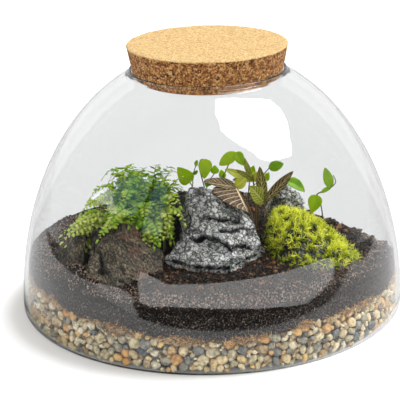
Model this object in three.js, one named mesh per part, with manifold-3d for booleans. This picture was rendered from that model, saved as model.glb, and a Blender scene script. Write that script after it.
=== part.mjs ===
// Glass plant terrarium: a low glass dome with a cork stopper, filled with gravel, a fibre
// mat, potting soil, stones, a moss cushion, ferns, creeping fig and a nerve plant.
// Millimetres, +Z up, the front faces -Y, origin under the middle of the flat glass base.
import * as THREE from 'three';
import { mergeVertices } from 'three/addons/utils/BufferGeometryUtils.js';
import { ConvexGeometry } from 'three/addons/geometries/ConvexGeometry.js';
import { TessellateModifier } from 'three/addons/modifiers/TessellateModifier.js';
import Module from 'manifold-3d';

const wasm = await Module();
wasm.setup();

// Driving dimensions
const DOME_RADIUS = 150;          // widest outside radius of the glass
const DOME_TOP = 201.12;          // height at which the dome's curve would close
const DOME_POWER = 2.048;         // exponents of the dome's curve
const DOME_ROOT = 2.103;
const GLASS_SIDES = 40;           // facets round the dome
const WALL = 3;                   // glass thickness
const FLOOR = 3.4;                // thickness of the glass base
const BASE_CORNER = 5;            // rounding between the base and the wall
const NECK_FOOT = 184.6;          // where the dome turns up into the neck
const RIM_TOP = 188.9;
const NECK_OUTER = 60.4;
const NECK_INNER = 58.4;
const CORK_TOP = 207.8;
const CORK_FOOT = 180;
const CORK_RIM_RADIUS = 58;       // cork radius where it passes the rim
const CORK_TAPER = 0.201;         // radius gained for each millimetre of height
const CORK_EDGE = 1.6;            // worn edge of the cork
const GAP = 0.3;                  // clearance between neighbouring pieces
const SEAT_GAP = 0.7;             // clearance round a stone in its seat
const SOIL_LEVEL = 48;            // soil height against the front wall
const MAT_THICKNESS = 2;
const HOLE_DEPTH = 9.5;           // how deep a stem stands in the soil
const HOLE_GAP = 0.35;
const LEAF = 0.7;                 // thickness of a blade
const RIB = 1.3;                  // thickness of a frond's rib
const UP = new THREE.Vector3(0, 0, 1);

const root = new THREE.Group();

// Seeded random numbers between -1 and 1
function randomSource(seed) {
  let state = seed;
  return () => {
    state = (Math.imul(state, 1664525) + 1013904223) >>> 0;
    return state / 2147483648 - 1;
  };
}

const vec = (p) => new THREE.Vector3(p[0], p[1], p[2]);

function material(color, roughness, more = {}) {
  return new THREE.MeshStandardMaterial({ color, roughness, metalness: 0, ...more });
}

// Closed body with shared corners, no empty triangles, and its faces turned outwards
function closed(geometry) {
  const bare = geometry.clone();
  bare.deleteAttribute('normal');
  bare.deleteAttribute('uv');
  const merged = mergeVertices(bare, 1e-4);
  const at = merged.attributes.position.array;
  const index = merged.index.array;
  const kept = [];
  let volume = 0;
  for (let i = 0; i < index.length; i += 3) {
    const [a, b, c] = [index[i], index[i + 1], index[i + 2]];
    if (a === b || b === c || c === a) continue;
    kept.push(a, b, c);
    const [p, q, r] = [a, b, c].map((k) => new THREE.Vector3().fromArray(at, 3 * k));
    volume += p.dot(q.cross(r));
  }
  if (volume < 0) kept.reverse();
  merged.setIndex(kept);
  return merged;
}

function toSolid(geometry) {
  const body = closed(geometry);
  return new wasm.Manifold(new wasm.Mesh({
    numProp: 3,
    vertProperties: new Float32Array(body.attributes.position.array),
    triVerts: new Uint32Array(body.index.array),
  }));
}

function toGeometry(solid) {
  const mesh = solid.getMesh();
  const geometry = new THREE.BufferGeometry();
  geometry.setAttribute('position', new THREE.BufferAttribute(mesh.vertProperties, 3));
  geometry.setIndex(new THREE.BufferAttribute(mesh.triVerts, 1));
  return geometry;
}

function add(name, geometry, finish) {
  const flat = geometry.index ? geometry.toNonIndexed() : geometry;
  flat.computeVertexNormals();
  const mesh = new THREE.Mesh(flat, finish);
  mesh.name = name;
  root.add(mesh);
}

function fuse(solids) {
  return solids.reduce((whole, piece) => whole.add(piece));
}

// Closed body from a start point, rings of equal count and an end point
function loft(start, rings, end) {
  const count = rings[0].length;
  const points = [start, ...rings.flat(), end];
  const last = points.length - 1;
  const index = [];
  for (let j = 0; j < count; j++) {
    const k = (j + 1) % count;
    index.push(0, 1 + k, 1 + j);
    for (let i = 0; i + 1 < rings.length; i++) {
      const a = 1 + i * count;
      const b = a + count;
      const along = (i + j) % 2 === 0;
      if (along) index.push(a + j, a + k, b + k, a + j, b + k, b + j);
      else index.push(a + j, a + k, b + j, a + k, b + k, b + j);
    }
    const top = 1 + (rings.length - 1) * count;
    index.push(top + j, top + k, last);
  }
  const geometry = new THREE.BufferGeometry().setFromPoints(points);
  geometry.setIndex(index);
  return closed(geometry);
}

// Round tube along a path given by its points
function tube(points, radius, steps, sides = 5) {
  const section = new THREE.Shape();
  for (let i = 0; i < sides; i++) {
    const turn = (2 * Math.PI * i) / sides;
    const [x, y] = [radius * Math.cos(turn), radius * Math.sin(turn)];
    if (i === 0) section.moveTo(x, y);
    else section.lineTo(x, y);
  }
  const path = new THREE.CatmullRomCurve3(points, false, 'centripetal');
  return toSolid(new THREE.ExtrudeGeometry(section, {
    steps, extrudePath: path, bevelEnabled: false, curveSegments: 1,
  }));
}

// Thin sheet: each point has a place, a normal and a thickness, split alike on both faces
function blade(points, triangles) {
  const face = (side) => points.map(({ at, normal, thick }) =>
    at.clone().addScaledVector(normal, (side * thick) / 2));
  const count = points.length;
  const index = [];
  const edges = new Map();
  for (const [a, b, c] of triangles) {
    index.push(a, b, c, count + a, count + c, count + b);
    for (const [p, q] of [[a, b], [b, c], [c, a]]) {
      if (edges.has(`${q} ${p}`)) edges.delete(`${q} ${p}`);
      else edges.set(`${p} ${q}`, [p, q]);
    }
  }
  for (const [p, q] of edges.values()) {
    index.push(p, count + p, count + q, p, count + q, q);
  }
  const geometry = new THREE.BufferGeometry().setFromPoints([...face(1), ...face(-1)]);
  geometry.setIndex(index);
  return toSolid(geometry);
}

// Glass dome

function domeRadius(z) {
  return DOME_RADIUS * (1 - (z / DOME_TOP) ** DOME_POWER) ** (1 / DOME_ROOT);
}

// Outer and inner walls as matching points, so the glass keeps its thickness
function wallPoints() {
  const heights = [10, 32, 58, 86, 112, 136, 155, 170, 180];
  const outer = heights.map((z) => new THREE.Vector2(domeRadius(z), z));
  const inner = heights.map((z) => {
    const slope = (domeRadius(z + 0.5) - domeRadius(z - 0.5));
    const length = Math.hypot(1, slope);
    return new THREE.Vector2(domeRadius(z) - WALL / length, z + (WALL * slope) / length);
  });
  return { outer, inner };
}

const { outer: OUTER_WALL, inner: INNER_WALL } = wallPoints();
const WALL_FOOT = new THREE.Vector2(DOME_RADIUS - WALL - 1.2, FLOOR);

function glassDome() {
  const corner = [];
  for (let i = 0; i <= 3; i++) {
    const turn = (Math.PI / 2) * (i / 3);
    corner.push(new THREE.Vector2(
      DOME_RADIUS - BASE_CORNER * (1 - Math.sin(turn)),
      BASE_CORNER * (1 - Math.cos(turn)),
    ));
  }
  const profile = [
    new THREE.Vector2(0, 0), ...corner, ...OUTER_WALL,
    new THREE.Vector2(NECK_OUTER + 1.4, NECK_FOOT - 0.4),
    new THREE.Vector2(NECK_OUTER, NECK_FOOT + 1),
    new THREE.Vector2(NECK_OUTER, RIM_TOP - 0.6), new THREE.Vector2(NECK_OUTER - 0.6, RIM_TOP),
    new THREE.Vector2(NECK_INNER, RIM_TOP), new THREE.Vector2(NECK_INNER, NECK_FOOT - 1.6),
    ...INNER_WALL.slice(0, -1).reverse(),
    WALL_FOOT, new THREE.Vector2(0, FLOOR),
  ];
  const lathe = new THREE.LatheGeometry(profile, GLASS_SIDES);
  lathe.rotateX(Math.PI / 2);
  add('glass_dome', closed(lathe), material('#dfe7e6', 0.05, { transparent: true, opacity: 0.25 }));
}

function corkStopper() {
  const radius = (z) => CORK_RIM_RADIUS + CORK_TAPER * (z - RIM_TOP);
  const profile = [
    new THREE.Vector2(0, CORK_FOOT),
    new THREE.Vector2(radius(CORK_FOOT) - CORK_EDGE, CORK_FOOT),
    new THREE.Vector2(radius(CORK_FOOT), CORK_FOOT + CORK_EDGE),
    new THREE.Vector2(radius(CORK_TOP), CORK_TOP - CORK_EDGE),
    new THREE.Vector2(radius(CORK_TOP) - CORK_EDGE, CORK_TOP),
    new THREE.Vector2(0, CORK_TOP),
  ];
  const lathe = new THREE.LatheGeometry(profile, GLASS_SIDES);
  lathe.rotateX(Math.PI / 2);
  add('cork_stopper', closed(lathe), material('#c9a06c', 0.9));
}

// Layers of the filling. A turn of 0 is the front (-Y), and it grows towards +X.

function innerRadius(z) {
  const line = [WALL_FOOT, ...INNER_WALL];
  const i = Math.max(1, line.findIndex((p) => p.y >= z));
  const t = (z - line[i - 1].y) / (line[i].y - line[i - 1].y);
  return line[i - 1].x + t * (line[i].x - line[i - 1].x);
}

// Reach of the filling against the facets of the glass
function reach(turn, z) {
  const facet = (2 * Math.PI) / GLASS_SIDES;
  const off = (((turn % facet) + facet) % facet) - facet / 2;
  return (innerRadius(z) * Math.cos(facet / 2)) / Math.cos(off) - GAP;
}

const polar = (turn, radius, z) =>
  new THREE.Vector3(radius * Math.sin(turn), -radius * Math.cos(turn), z);

// Wavy line of the gravel's top against the wall: [waves round the wall, cosine, sine]
const GRAVEL_WAVES = [[1, 2.6, -3.3], [2, -2, 2.4], [3, -3.4, -0.4], [4, -1.7, -0.2]];
const GRAVEL_MEAN = 29.1;

function gravelTop(turn, fraction) {
  const wave = GRAVEL_WAVES.reduce(
    (sum, [n, c, s]) => sum + c * Math.cos(n * turn) + s * Math.sin(n * turn), 0);
  return GRAVEL_MEAN + wave * fraction * fraction;
}

// The soil is level behind the front wall, heaped under the plants, sinks towards the back,
// and falls away behind a crest at the back right.
const CREST = { across: 0.85, back: 0.527, distance: 104, slope: 0.52 };
const HEAP = { x: -5, y: 22, height: 6, spread: 62 };
const BACK_SLOPE = 0.06;

function soilHeight(x, y) {
  const beyond = CREST.across * x + CREST.back * y - CREST.distance;
  const away = Math.hypot(x - HEAP.x, y - HEAP.y) / HEAP.spread;
  const sunk = BACK_SLOPE * Math.max(0, y) + CREST.slope * Math.max(0, beyond);
  return SOIL_LEVEL + HEAP.height * Math.exp(-away * away) - sunk;
}

function gravelLayer() {
  const steps = 88;
  const rows = 5;
  const relief = 2.2;
  const random = randomSource(11);
  const turns = Array.from({ length: steps }, (_, j) => (2 * Math.PI * j) / steps);
  const foot = FLOOR + GAP;
  const inner = turns.map((turn) => polar(turn, 90, foot));
  const side = [];
  for (let i = 0; i <= rows; i++) {
    side.push(turns.map((turn, j) => {
      const z = foot + 1 + (gravelTop(turn, 1) - foot - 1) * (i / rows);
      const valley = (i + j) % 2 ? relief * (1 + 0.25 * random()) : 0.25 * (1 + random());
      const edge = i === 0 || i === rows ? 0.6 : valley;
      return polar(turn, reach(turn, z) - edge, z);
    }));
  }
  const top = [0.6].map((part) =>
    turns.map((turn) => polar(turn, 143 * part, gravelTop(turn, part))));
  const body = loft(vec([0, 0, foot]), [inner, ...side, ...top], vec([0, 0, GRAVEL_MEAN]));
  add('gravel_layer', body, material('#b59a78', 0.85));
}

function matTop(turn, fraction) {
  return gravelTop(turn, fraction) + GAP + MAT_THICKNESS;
}

function fibreMat() {
  const turns = Array.from({ length: GLASS_SIDES }, (_, j) => (2 * Math.PI * j) / GLASS_SIDES);
  const ring = (part, lift) => turns.map((turn) => {
    const z = gravelTop(turn, part) + lift;
    return polar(turn, part === 1 ? reach(turn, z) - 0.5 : 143 * part, z);
  });
  const under = GAP + 0.4;
  const over = GAP + MAT_THICKNESS;
  const rings = [ring(0.5, under), ring(1, under), ring(1, over), ring(0.5, over)];
  const body = loft(vec([0, 0, GRAVEL_MEAN + under]), rings, vec([0, 0, GRAVEL_MEAN + over]));
  add('fibre_mat', body, material('#8a4f27', 1));
}

function soilBody() {
  const random = randomSource(23);
  const crumb = 0.9;
  const turns = Array.from({ length: GLASS_SIDES }, (_, j) => (2 * Math.PI * j) / GLASS_SIDES);
  const under = (turn, part) => matTop(turn, part) + 2 * GAP;
  const low = turns.map((turn) => polar(turn, 143 * 0.5, under(turn, 0.5)));
  const side = [0, 0.5, 1].map((level) => turns.map((turn) => {
    const wall = polar(turn, 143, 0);
    const bottom = under(turn, 1);
    const z = bottom + (soilHeight(wall.x, wall.y) - bottom) * level;
    return polar(turn, reach(turn, z), z);
  }));
  const top = [0.94, 0.86, 0.76, 0.66, 0.55, 0.43, 0.3, 0.16].map((part) => turns.map((turn) => {
    const point = polar(turn, 143 * part, 0);
    point.z = soilHeight(point.x, point.y) + crumb * random();
    return point;
  }));
  const centre = vec([0, 0, soilHeight(0, 0)]);
  return toSolid(loft(vec([0, 0, under(0, 0)]), [low, ...side, ...top], centre));
}

// Stones: each is one or two blocks given by their corners, broken up by a smooth roughness

const STONES = {
  rock_central: {
    roughness: 1.1,
    edge: 20,
    colour: '#6f716d',
    blocks: [[
      [-11, -20, 101], [-18, -22, 96], [-15, -5, 92], [7, -21, 91], [19, -8, 86], [33, -25, 70],
      [29, -7, 67], [-20, -50, 67], [16, -61, 62], [39, -34, 56], [-24, -24, 72], [-29, -6, 42],
      [36, -5, 42], [6, -50, 72], [24, -44, 66],
    ], [
      [-22, -46, 67], [14, -55, 63], [37, -32, 57], [-35, -51, 56], [-12, -69, 55], [16, -74, 55],
      [41, -34, 52], [-38, -50, 42], [-14, -71, 42], [18, -76, 42], [43, -30, 42], [36, -16, 42],
      [-31, -22, 42],
    ]],
  },
  rock_rear_left: {
    roughness: 0.9,
    edge: 24,
    colour: '#54524e',
    blocks: [[
      [-26, 1, 88], [-16, -1, 90], [-13, 13, 85], [-25, 13, 82], [-35, -20, 69], [-27, -25, 70],
      [-38, -20, 43], [-24, -28, 43], [-8, 20, 43], [-32, 18, 43], [-9, 4, 60],
    ]],
  },
  rock_rear_right: {
    roughness: 0.9,
    edge: 22,
    colour: '#7b7c79',
    blocks: [[
      [62, 24, 85], [50, 26, 82], [70, 26, 80], [72, 42, 72], [52, 44, 70], [77, 24, 64],
      [44, 22, 66], [80, 28, 43], [82, 48, 43], [40, 24, 43], [44, 48, 43], [62, 14, 43],
      [60, 17, 74],
    ]],
  },
  slate_main: {
    roughness: 0.8,
    edge: 26,
    colour: '#4a4540',
    blocks: [[
      [-88, -57, 79], [-67, -51, 83], [-60, -47, 80], [-36, -46, 57], [-93, -94, 47],
      [-72, -99, 46], [-36, -62, 47], [-90, -40, 72], [-66, -38, 76], [-92, -92, 41],
      [-72, -98, 40], [-35, -60, 40], [-90, -36, 41], [-34, -36, 41],
    ]],
  },
  slate_small: {
    roughness: 0.7,
    edge: 22,
    colour: '#57514a',
    blocks: [[
      [-93, -52, 75], [-106, -44, 71], [-117, -42, 58], [-96, -76, 50], [-109, -68, 49],
      [-95, -38, 66], [-112, -34, 60], [-96, -75, 41], [-110, -66, 41], [-95, -36, 41],
      [-116, -36, 41],
    ]],
  },
};

// Smooth wandering push, the same for every point at the same place
function push(point, amount) {
  const { x, y, z } = point;
  return point.add(vec([
    Math.sin(0.31 * y + 0.17 * z + 1) + Math.sin(0.53 * z - 0.4 * y),
    Math.sin(0.29 * z + 0.23 * x + 2) + Math.sin(0.47 * x + 0.37 * z),
    Math.sin(0.33 * x - 0.27 * y + 3) + Math.sin(0.41 * y + 0.59 * x),
  ]).multiplyScalar(amount / 2));
}

function stoneBlock(corners, { roughness, edge }) {
  const block = closed(new ConvexGeometry(corners.map(vec))).toNonIndexed();
  const fine = closed(new TessellateModifier(edge, 6).modify(block));
  const at = fine.attributes.position;
  for (let i = 0; i < at.count; i++) {
    const point = push(new THREE.Vector3().fromBufferAttribute(at, i), roughness);
    at.setXYZ(i, point.x, point.y, point.z);
  }
  return toSolid(fine);
}

// The same body with every face moved out by the amount, which cuts its seat in a neighbour
function grown(solid, amount) {
  const body = closed(toGeometry(solid));
  const at = body.attributes.position;
  const faces = Array.from({ length: at.count }, () => []);
  const corner = (k) => new THREE.Vector3().fromBufferAttribute(at, k);
  for (let i = 0; i < body.index.count; i += 3) {
    const [a, b, c] = [0, 1, 2].map((k) => body.index.array[i + k]);
    const p = corner(a);
    const face = corner(b).sub(p).cross(corner(c).sub(p)).normalize();
    for (const k of [a, b, c]) faces[k].push(face);
  }
  const moved = faces.map((around, k) => {
    const out = around.reduce((sum, face) => sum.add(face), new THREE.Vector3()).normalize();
    const least = Math.min(...around.map((face) => face.dot(out)));
    return corner(k).addScaledVector(out, amount / Math.max(least, 0.4));
  });
  moved.forEach((point, k) => at.setXYZ(k, point.x, point.y, point.z));
  return toSolid(body);
}

// A block scaled up about the mean of its corners, which cuts its seat in its neighbours
function seatOf(block, corners) {
  const { min, max } = block.boundingBox();
  const middle = [0, 1, 2].map((k) => corners.reduce((sum, p) => sum + p[k] / corners.length, 0));
  const factor = min.map((low, k) => 1 + (2 * SEAT_GAP) / (max[k] - low));
  return block.translate(middle.map((m) => -m)).scale(factor).translate(middle);
}

// Moss cushion: a low mound whose surface rises in pointed tufts

const MOSS = {
  peak: [52, -9, 75],
  foot: 44,
  tuft: 5.2,
  outline: [[43, -12, 50], [45, -34, 49], [52, -54, 48], [72, -68, 48], [96, -67, 48],
    [112, -50, 48], [108, -22, 48], [98, 8, 48], [86, 24, 49], [68, 20, 54], [53, 11, 55]],
};

function mossBody() {
  const random = randomSource(37);
  const steps = 40;
  const edge = new THREE.CatmullRomCurve3(MOSS.outline.map(vec), true).getSpacedPoints(steps);
  const peak = vec(MOSS.peak);
  const middle = vec([76, -20, MOSS.foot]);
  const ring = (part, i) => edge.slice(0, steps).map((rim, j) => {
    const point = peak.clone().lerp(rim, part);
    point.z = peak.z + (rim.z - peak.z) * part ** 2;
    const high = (i + j) % 2 === 0 && part < 0.99;
    const lean = rim.clone().sub(peak).setZ(0).normalize().multiplyScalar(0.55 * part);
    const out = lean.add(UP).normalize();
    const height = high ? MOSS.tuft * (1 + 0.35 * random()) : 0.6 * random();
    const sway = high ? 1.1 * part : 0.3;
    return point.addScaledVector(out, height).add(vec([sway * random(), sway * random(), 0]));
  });
  const parts = [1, 0.93, 0.86, 0.78, 0.7, 0.61, 0.52, 0.43, 0.33, 0.23, 0.12];
  const sunk = edge.slice(0, steps).map((rim) => middle.clone().lerp(rim, 0.97).setZ(MOSS.foot));
  return toSolid(loft(middle, [sunk, ...parts.map(ring)], peak.clone().add(vec([0, 0, 4]))));
}

// Fern fronds: an arched rib that carries leaflets on both sides, standing in the soil by a
// bare stalk. base is its place in the soil, rise the height that it climbs before it bends,
// and arch how far the bend stands over the tip.

const FRONDS = [
  { base: [-64, -7], tip: [-92, -19, 92], rise: 52, arch: 15, width: 5.2 },
  { base: [-66, -14], tip: [-98, -37, 86], rise: 42, arch: 15, width: 5.2 },
  { base: [-62, -22], tip: [-111, -57, 76], rise: 34, arch: 15, width: 5.6 },
  { base: [-55, -23], tip: [-77, -66, 84], rise: 40, arch: 14, width: 5.4 },
  { base: [-62, 1], tip: [-84, 8, 99], rise: 58, arch: 14, width: 5.4 },
  { base: [-55, 5], tip: [-66, 26, 101], rise: 54, arch: 10, width: 5.6 },
  { base: [-52, -5], tip: [-55, -32, 107], rise: 62, arch: 14, width: 5.6 },
  { base: [-49, -17], tip: [-50, -52, 84], rise: 44, arch: 16, width: 5.2 },
  { base: [-46, 2], tip: [-40, 18, 104], rise: 52, arch: 8, width: 5.2 },
  { base: [-41, -12], tip: [-23, -34, 89], rise: 46, arch: 12, width: 5 },
  { base: [-48, -25], tip: [-39, -54, 67], rise: 32, arch: 22, width: 5 },
  { base: [-40, -5], tip: [-25, 2, 103], rise: 52, arch: 8, width: 4.8 },
  { base: [-36.5, -30], tip: [-20, -42, 78], rise: 40, arch: 16, width: 5 },
  { base: [-55, -13], tip: [-65, -44, 94], rise: 50, arch: 15, width: 5.4 },
  { base: [-57, 14], tip: [-78, 33, 95], rise: 54, arch: 12, width: 5.4 },
];

function frondCurve({ base, tip, rise, arch }) {
  const foot = vec([base[0], base[1], soilHeight(base[0], base[1]) + 1]);
  const end = vec(tip);
  const ahead = end.clone().sub(foot).setZ(0);
  const along = ahead.clone().normalize();
  const bend = end.clone().addScaledVector(along, -0.35 * ahead.length());
  bend.z += arch;
  const climb = foot.clone().setZ(foot.z + rise);
  return { foot, along, curve: new THREE.CubicBezierCurve3(foot, climb, bend, end) };
}

function frondSolid(frond) {
  const { foot, along, curve } = frondCurve(frond);
  const side = along.clone().cross(UP);
  const pairs = Math.round(curve.getLength() / 6.5);
  const start = 0.24;
  const points = [];
  const triangles = [];
  const place = (t, across, thick) => {
    const tangent = curve.getTangentAt(t);
    const normal = side.clone().cross(tangent);
    const at = curve.getPointAt(t).addScaledVector(side, across);
    at.addScaledVector(normal, -0.035 * across * across);
    return points.push({ at, normal, thick }) - 1;
  };
  const sunk = foot.clone().setZ(foot.z - HOLE_DEPTH);
  const away = along.clone().negate();
  const half = RIB / 2;
  let rib = [1, -1].map((hand) => points.push(
    { at: sunk.clone().addScaledVector(side, hand * half), normal: away, thick: RIB }) - 1);
  const advance = (next) => {
    triangles.push([rib[0], rib[1], next[1]], [rib[0], next[1], next[0]]);
    rib = next;
  };
  for (const t of [0, 0.1, start]) advance([place(t, half, RIB), place(t, -half, RIB)]);
  const step = (1 - start) / (pairs + 0.8);
  for (let i = 0; i < pairs; i++) {
    const t = start + step * i;
    const grow = (i + 0.5) / pairs;
    const reachOut = frond.width * Math.min(1, 0.45 + 2.2 * grow) * (1 - grow ** 3) ** 0.8 + half;
    const before = rib;
    const thin = half * (1 - 0.5 * grow);
    advance([place(t + step, thin, RIB * (1 - 0.3 * grow)), place(t + step, -thin, RIB * (1 - 0.3 * grow))]);
    [1, -1].forEach((hand, k) => {
      const outer = place(t + 0.5 * step, hand * reachOut, LEAF);
      const tipward = place(t + 1.02 * step, hand * reachOut * 0.88, LEAF);
      const [from, to] = [before[k], rib[k]];
      if (k === 0) triangles.push([outer, from, to], [outer, to, tipward]);
      else triangles.push([from, outer, to], [to, outer, tipward]);
    });
  }
  const end = place(1, 0, LEAF);
  triangles.push([rib[0], rib[1], end]);
  return blade(points, triangles);
}

// Leaves: an outline by formula, folded along the midrib by a slope for each half, curled
// towards the tip and waved. shown is the part of the right half that isn't rolled under.

const OUTLINES = {
  heart: (u) => Math.sin(Math.PI * u ** 0.62) ** 0.75,
  oval: (u) => Math.sin(Math.PI * u ** 0.85) ** 0.7,
};

function leafSolid({ base, tip, face, width, shape = 'oval', fold = [0.25, 0.25], curl = 0.12,
  shown = 1, wave = 0, columns = 2, rows = 4 }) {
  const axis = vec(tip).sub(vec(base)).normalize();
  const start = vec(base).addScaledVector(axis, -0.5);
  const length = vec(tip).distanceTo(start);
  const side = axis.clone().cross(vec(face)).normalize();
  const normal = side.clone().cross(axis);
  const spot = (u, v) => {
    const slope = fold[v > 0 ? 0 : 1];
    const half = 0.5 * width * OUTLINES[shape](u) * (v > 0 ? 1 : shown);
    const across = (half * v) / Math.hypot(1, slope);
    const lift = slope * Math.abs(across) - curl * length * u * u
      + wave * Math.abs(v) * Math.sin(2.5 * Math.PI * u + (v > 0 ? 0 : 2));
    return start.clone().addScaledVector(axis, length * u).addScaledVector(side, across)
      .addScaledVector(normal, lift);
  };
  const points = [];
  const put = (u, v) => points.push({ at: spot(u, v), normal, thick: LEAF }) - 1;
  const triangles = [];
  const spread = Array.from({ length: columns + 1 }, (_, k) => (2 * k) / columns - 1);
  const first = put(0, 0);
  let row = spread.map((v) => put(1 / (rows + 1), v));
  for (let k = 0; k < columns; k++) triangles.push([first, row[k + 1], row[k]]);
  for (let i = 2; i <= rows; i++) {
    const next = spread.map((v) => put(i / (rows + 1), v));
    for (let k = 0; k < columns; k++) {
      triangles.push([row[k], row[k + 1], next[k + 1]], [row[k], next[k + 1], next[k]]);
    }
    row = next;
  }
  const last = put(1, 0);
  for (let k = 0; k < columns; k++) triangles.push([row[k], row[k + 1], last]);
  return blade(points, triangles);
}

// A leafy stem: a tube from its hole in the soil, with leaves on short stalks

function leafyStem({ base, path, radius, leaves, stalks = [] }) {
  const level = soilHeight(base[0], base[1]) + 1;
  const foot = [level - HOLE_DEPTH, level].map((z) => vec([base[0], base[1], z]));
  const pieces = [tube([...foot, ...past(path)], radius, 2 * path.length + 2, 4)];
  for (const stalk of stalks) pieces.push(tube(past(stalk), radius * 0.8, 3, 3));
  return fuse([...pieces, ...leaves.map(leafSolid)]);
}

// A route with its end drawn out a little, so that the last leaf is rooted in it
function past(path) {
  const points = path.map(vec);
  const [before, end] = points.slice(-2);
  points[points.length - 1] = end.clone().add(end.clone().sub(before).setLength(1.2));
  return points;
}

const FRONT = [0, -1, 0.35];

const FIG_STEMS = [
  {
    base: [-10, 30],
    path: [[-11, 26, 72], [-14, 19, 86], [-16, 17, 91]],
    stalks: [[[-14, 19, 86], [-13, 19, 97], [-11, 18, 104]]],
    leaves: [
      { base: [-16, 17, 91], tip: [-25, 14, 104], face: FRONT, width: 13, shape: 'heart' },
      { base: [-11, 18, 104], tip: [-10, 17, 109], face: [-1, -1, 0.5], width: 4 },
      { base: [-13, 19, 97], tip: [-9.5, 18, 100], face: [1, -1, 0.5], width: 3.6 },
    ],
  },
  {
    base: [-3, 34],
    path: [[-4, 30, 78], [-8, 25, 99], [-7, 20, 108], [-3, 15, 110]],
    stalks: [[[-4, 30, 78], [0, 24, 90], [4, 20, 97]]],
    leaves: [
      { base: [-3, 15, 110], tip: [-4.5, 9, 96], face: FRONT, width: 11, shape: 'heart' },
      { base: [4, 20, 97], tip: [4, 17, 104], face: FRONT, width: 7 },
      { base: [0, 24, 90], tip: [-3, 18, 87], face: [0, -0.7, 0.7], width: 7 },
    ],
  },
  {
    base: [10, 30],
    path: [[9, 24, 80], [10.5, 19, 93], [16, 13, 108], [21, 12, 116]],
    stalks: [[[9, 24, 80], [17, 17, 90], [22, 13, 94]]],
    leaves: [
      { base: [21, 12, 116], tip: [7.5, 9, 107], face: FRONT, width: 9.5 },
      { base: [21, 12, 116], tip: [27, 10, 106], face: [0.3, -1, 0.2], width: 8.5, shape: 'heart' },
      { base: [10.5, 19, 93], tip: [9, 14, 101], face: FRONT, width: 6 },
      { base: [10.5, 19, 93], tip: [10, 9, 97], face: [0.7, -1, 0.3], width: 9, shape: 'heart' },
      { base: [22, 13, 94], tip: [24, 7, 99], face: [0, -0.5, 1], width: 10, shape: 'heart' },
    ],
  },
  {
    base: [30, 34],
    path: [[31, 28, 80], [33, 26, 94]],
    stalks: [[[31, 28, 80], [38, 27, 86], [44, 26, 89]]],
    leaves: [
      { base: [33, 26, 94], tip: [35, 24, 101], face: FRONT, width: 6.5, shape: 'heart' },
      { base: [44, 26, 89], tip: [47, 24, 95], face: FRONT, width: 6.5, shape: 'heart' },
    ],
  },
  {
    base: [38, 26],
    path: [[38, 22, 76], [41, 17, 93], [47, 15, 102]],
    leaves: [{ base: [47, 15, 102], tip: [58, 13, 106], face: [0.1, -1, 0.5], width: 8.5 }],
  },
  {
    base: [62, 60],
    path: [[62, 57, 70], [63, 54, 78]],
    leaves: [{
      base: [63, 54, 78], tip: [78, 48, 74], face: [0.2, -0.6, 0.9], width: 12, fold: [0.45, 0.45],
      curl: 0.3,
    }],
  },
  {
    base: [92, 40],
    path: [[90, 37, 62], [86, 34, 72], [97, 29, 80], [101, 28, 85], [99, 27, 91]],
    leaves: [
      { base: [86, 34, 72], tip: [82, 30, 58], face: FRONT, width: 12.5, shape: 'heart', fold: [0.4, 0.4] },
      { base: [97, 29, 80], tip: [92.5, 27, 97], face: FRONT, width: 8.5 },
      { base: [97, 29, 80], tip: [88.5, 27, 77], face: [0, -0.5, 1], width: 4.5 },
    ],
  },
];

const NERVE_STEMS = [
  {
    base: [34, 4],
    path: [[31, 1, 72], [20, -3, 93]],
    leaves: [
      { base: [20, -3, 93], tip: [28.5, -38, 86], face: [0.2, -0.16, 0.93], width: 44,
        shape: 'heart', fold: [0.05, -1.2], shown: 0.45, curl: 0.06 },
      { base: [20, -3, 93], tip: [-5, -8, 98], face: [0.1, -0.25, 1], width: 16, curl: -0.06 },
      { base: [20, -3, 93], tip: [28, -4, 100], face: [0.3, -1, 0.6], width: 9 },
    ],
  },
  {
    base: [36, 12],
    path: [[36, 9, 76], [34, 5, 95]],
    leaves: [
      { base: [34, 5, 95], tip: [11, 3, 105], face: [0, -0.8, 0.6], width: 8, curl: -0.1 },
      { base: [34, 5, 95], tip: [26.5, 5, 113], face: [-0.5, -1, 0], width: 9, fold: [0.6, 0.6] },
      { base: [34, 5, 95], tip: [36.5, 1, 103], face: [0, -1, 0.6], width: 8 },
      { base: [34, 5, 95], tip: [20, 1, 108], face: [-0.5, -1, 0.4], width: 4.5, curl: -0.2 },
    ],
  },
  {
    base: [45, 3],
    path: [[44.5, 1, 64], [42, -2, 79]],
    leaves: [
      { base: [42, -2, 79], tip: [38.5, -2, 108], face: [-0.2, -1, 0.2], width: 11 },
      { base: [42, -2, 79], tip: [66, -1, 104], face: [-0.6, -1, 0.5], width: 10, curl: -0.04 },
      { base: [42, -2, 79], tip: [32, -7, 94], face: [0.2, -1, 0.5], width: 13 },
    ],
  },
];

const number = (i) => String(i + 1).padStart(2, '0');

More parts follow.
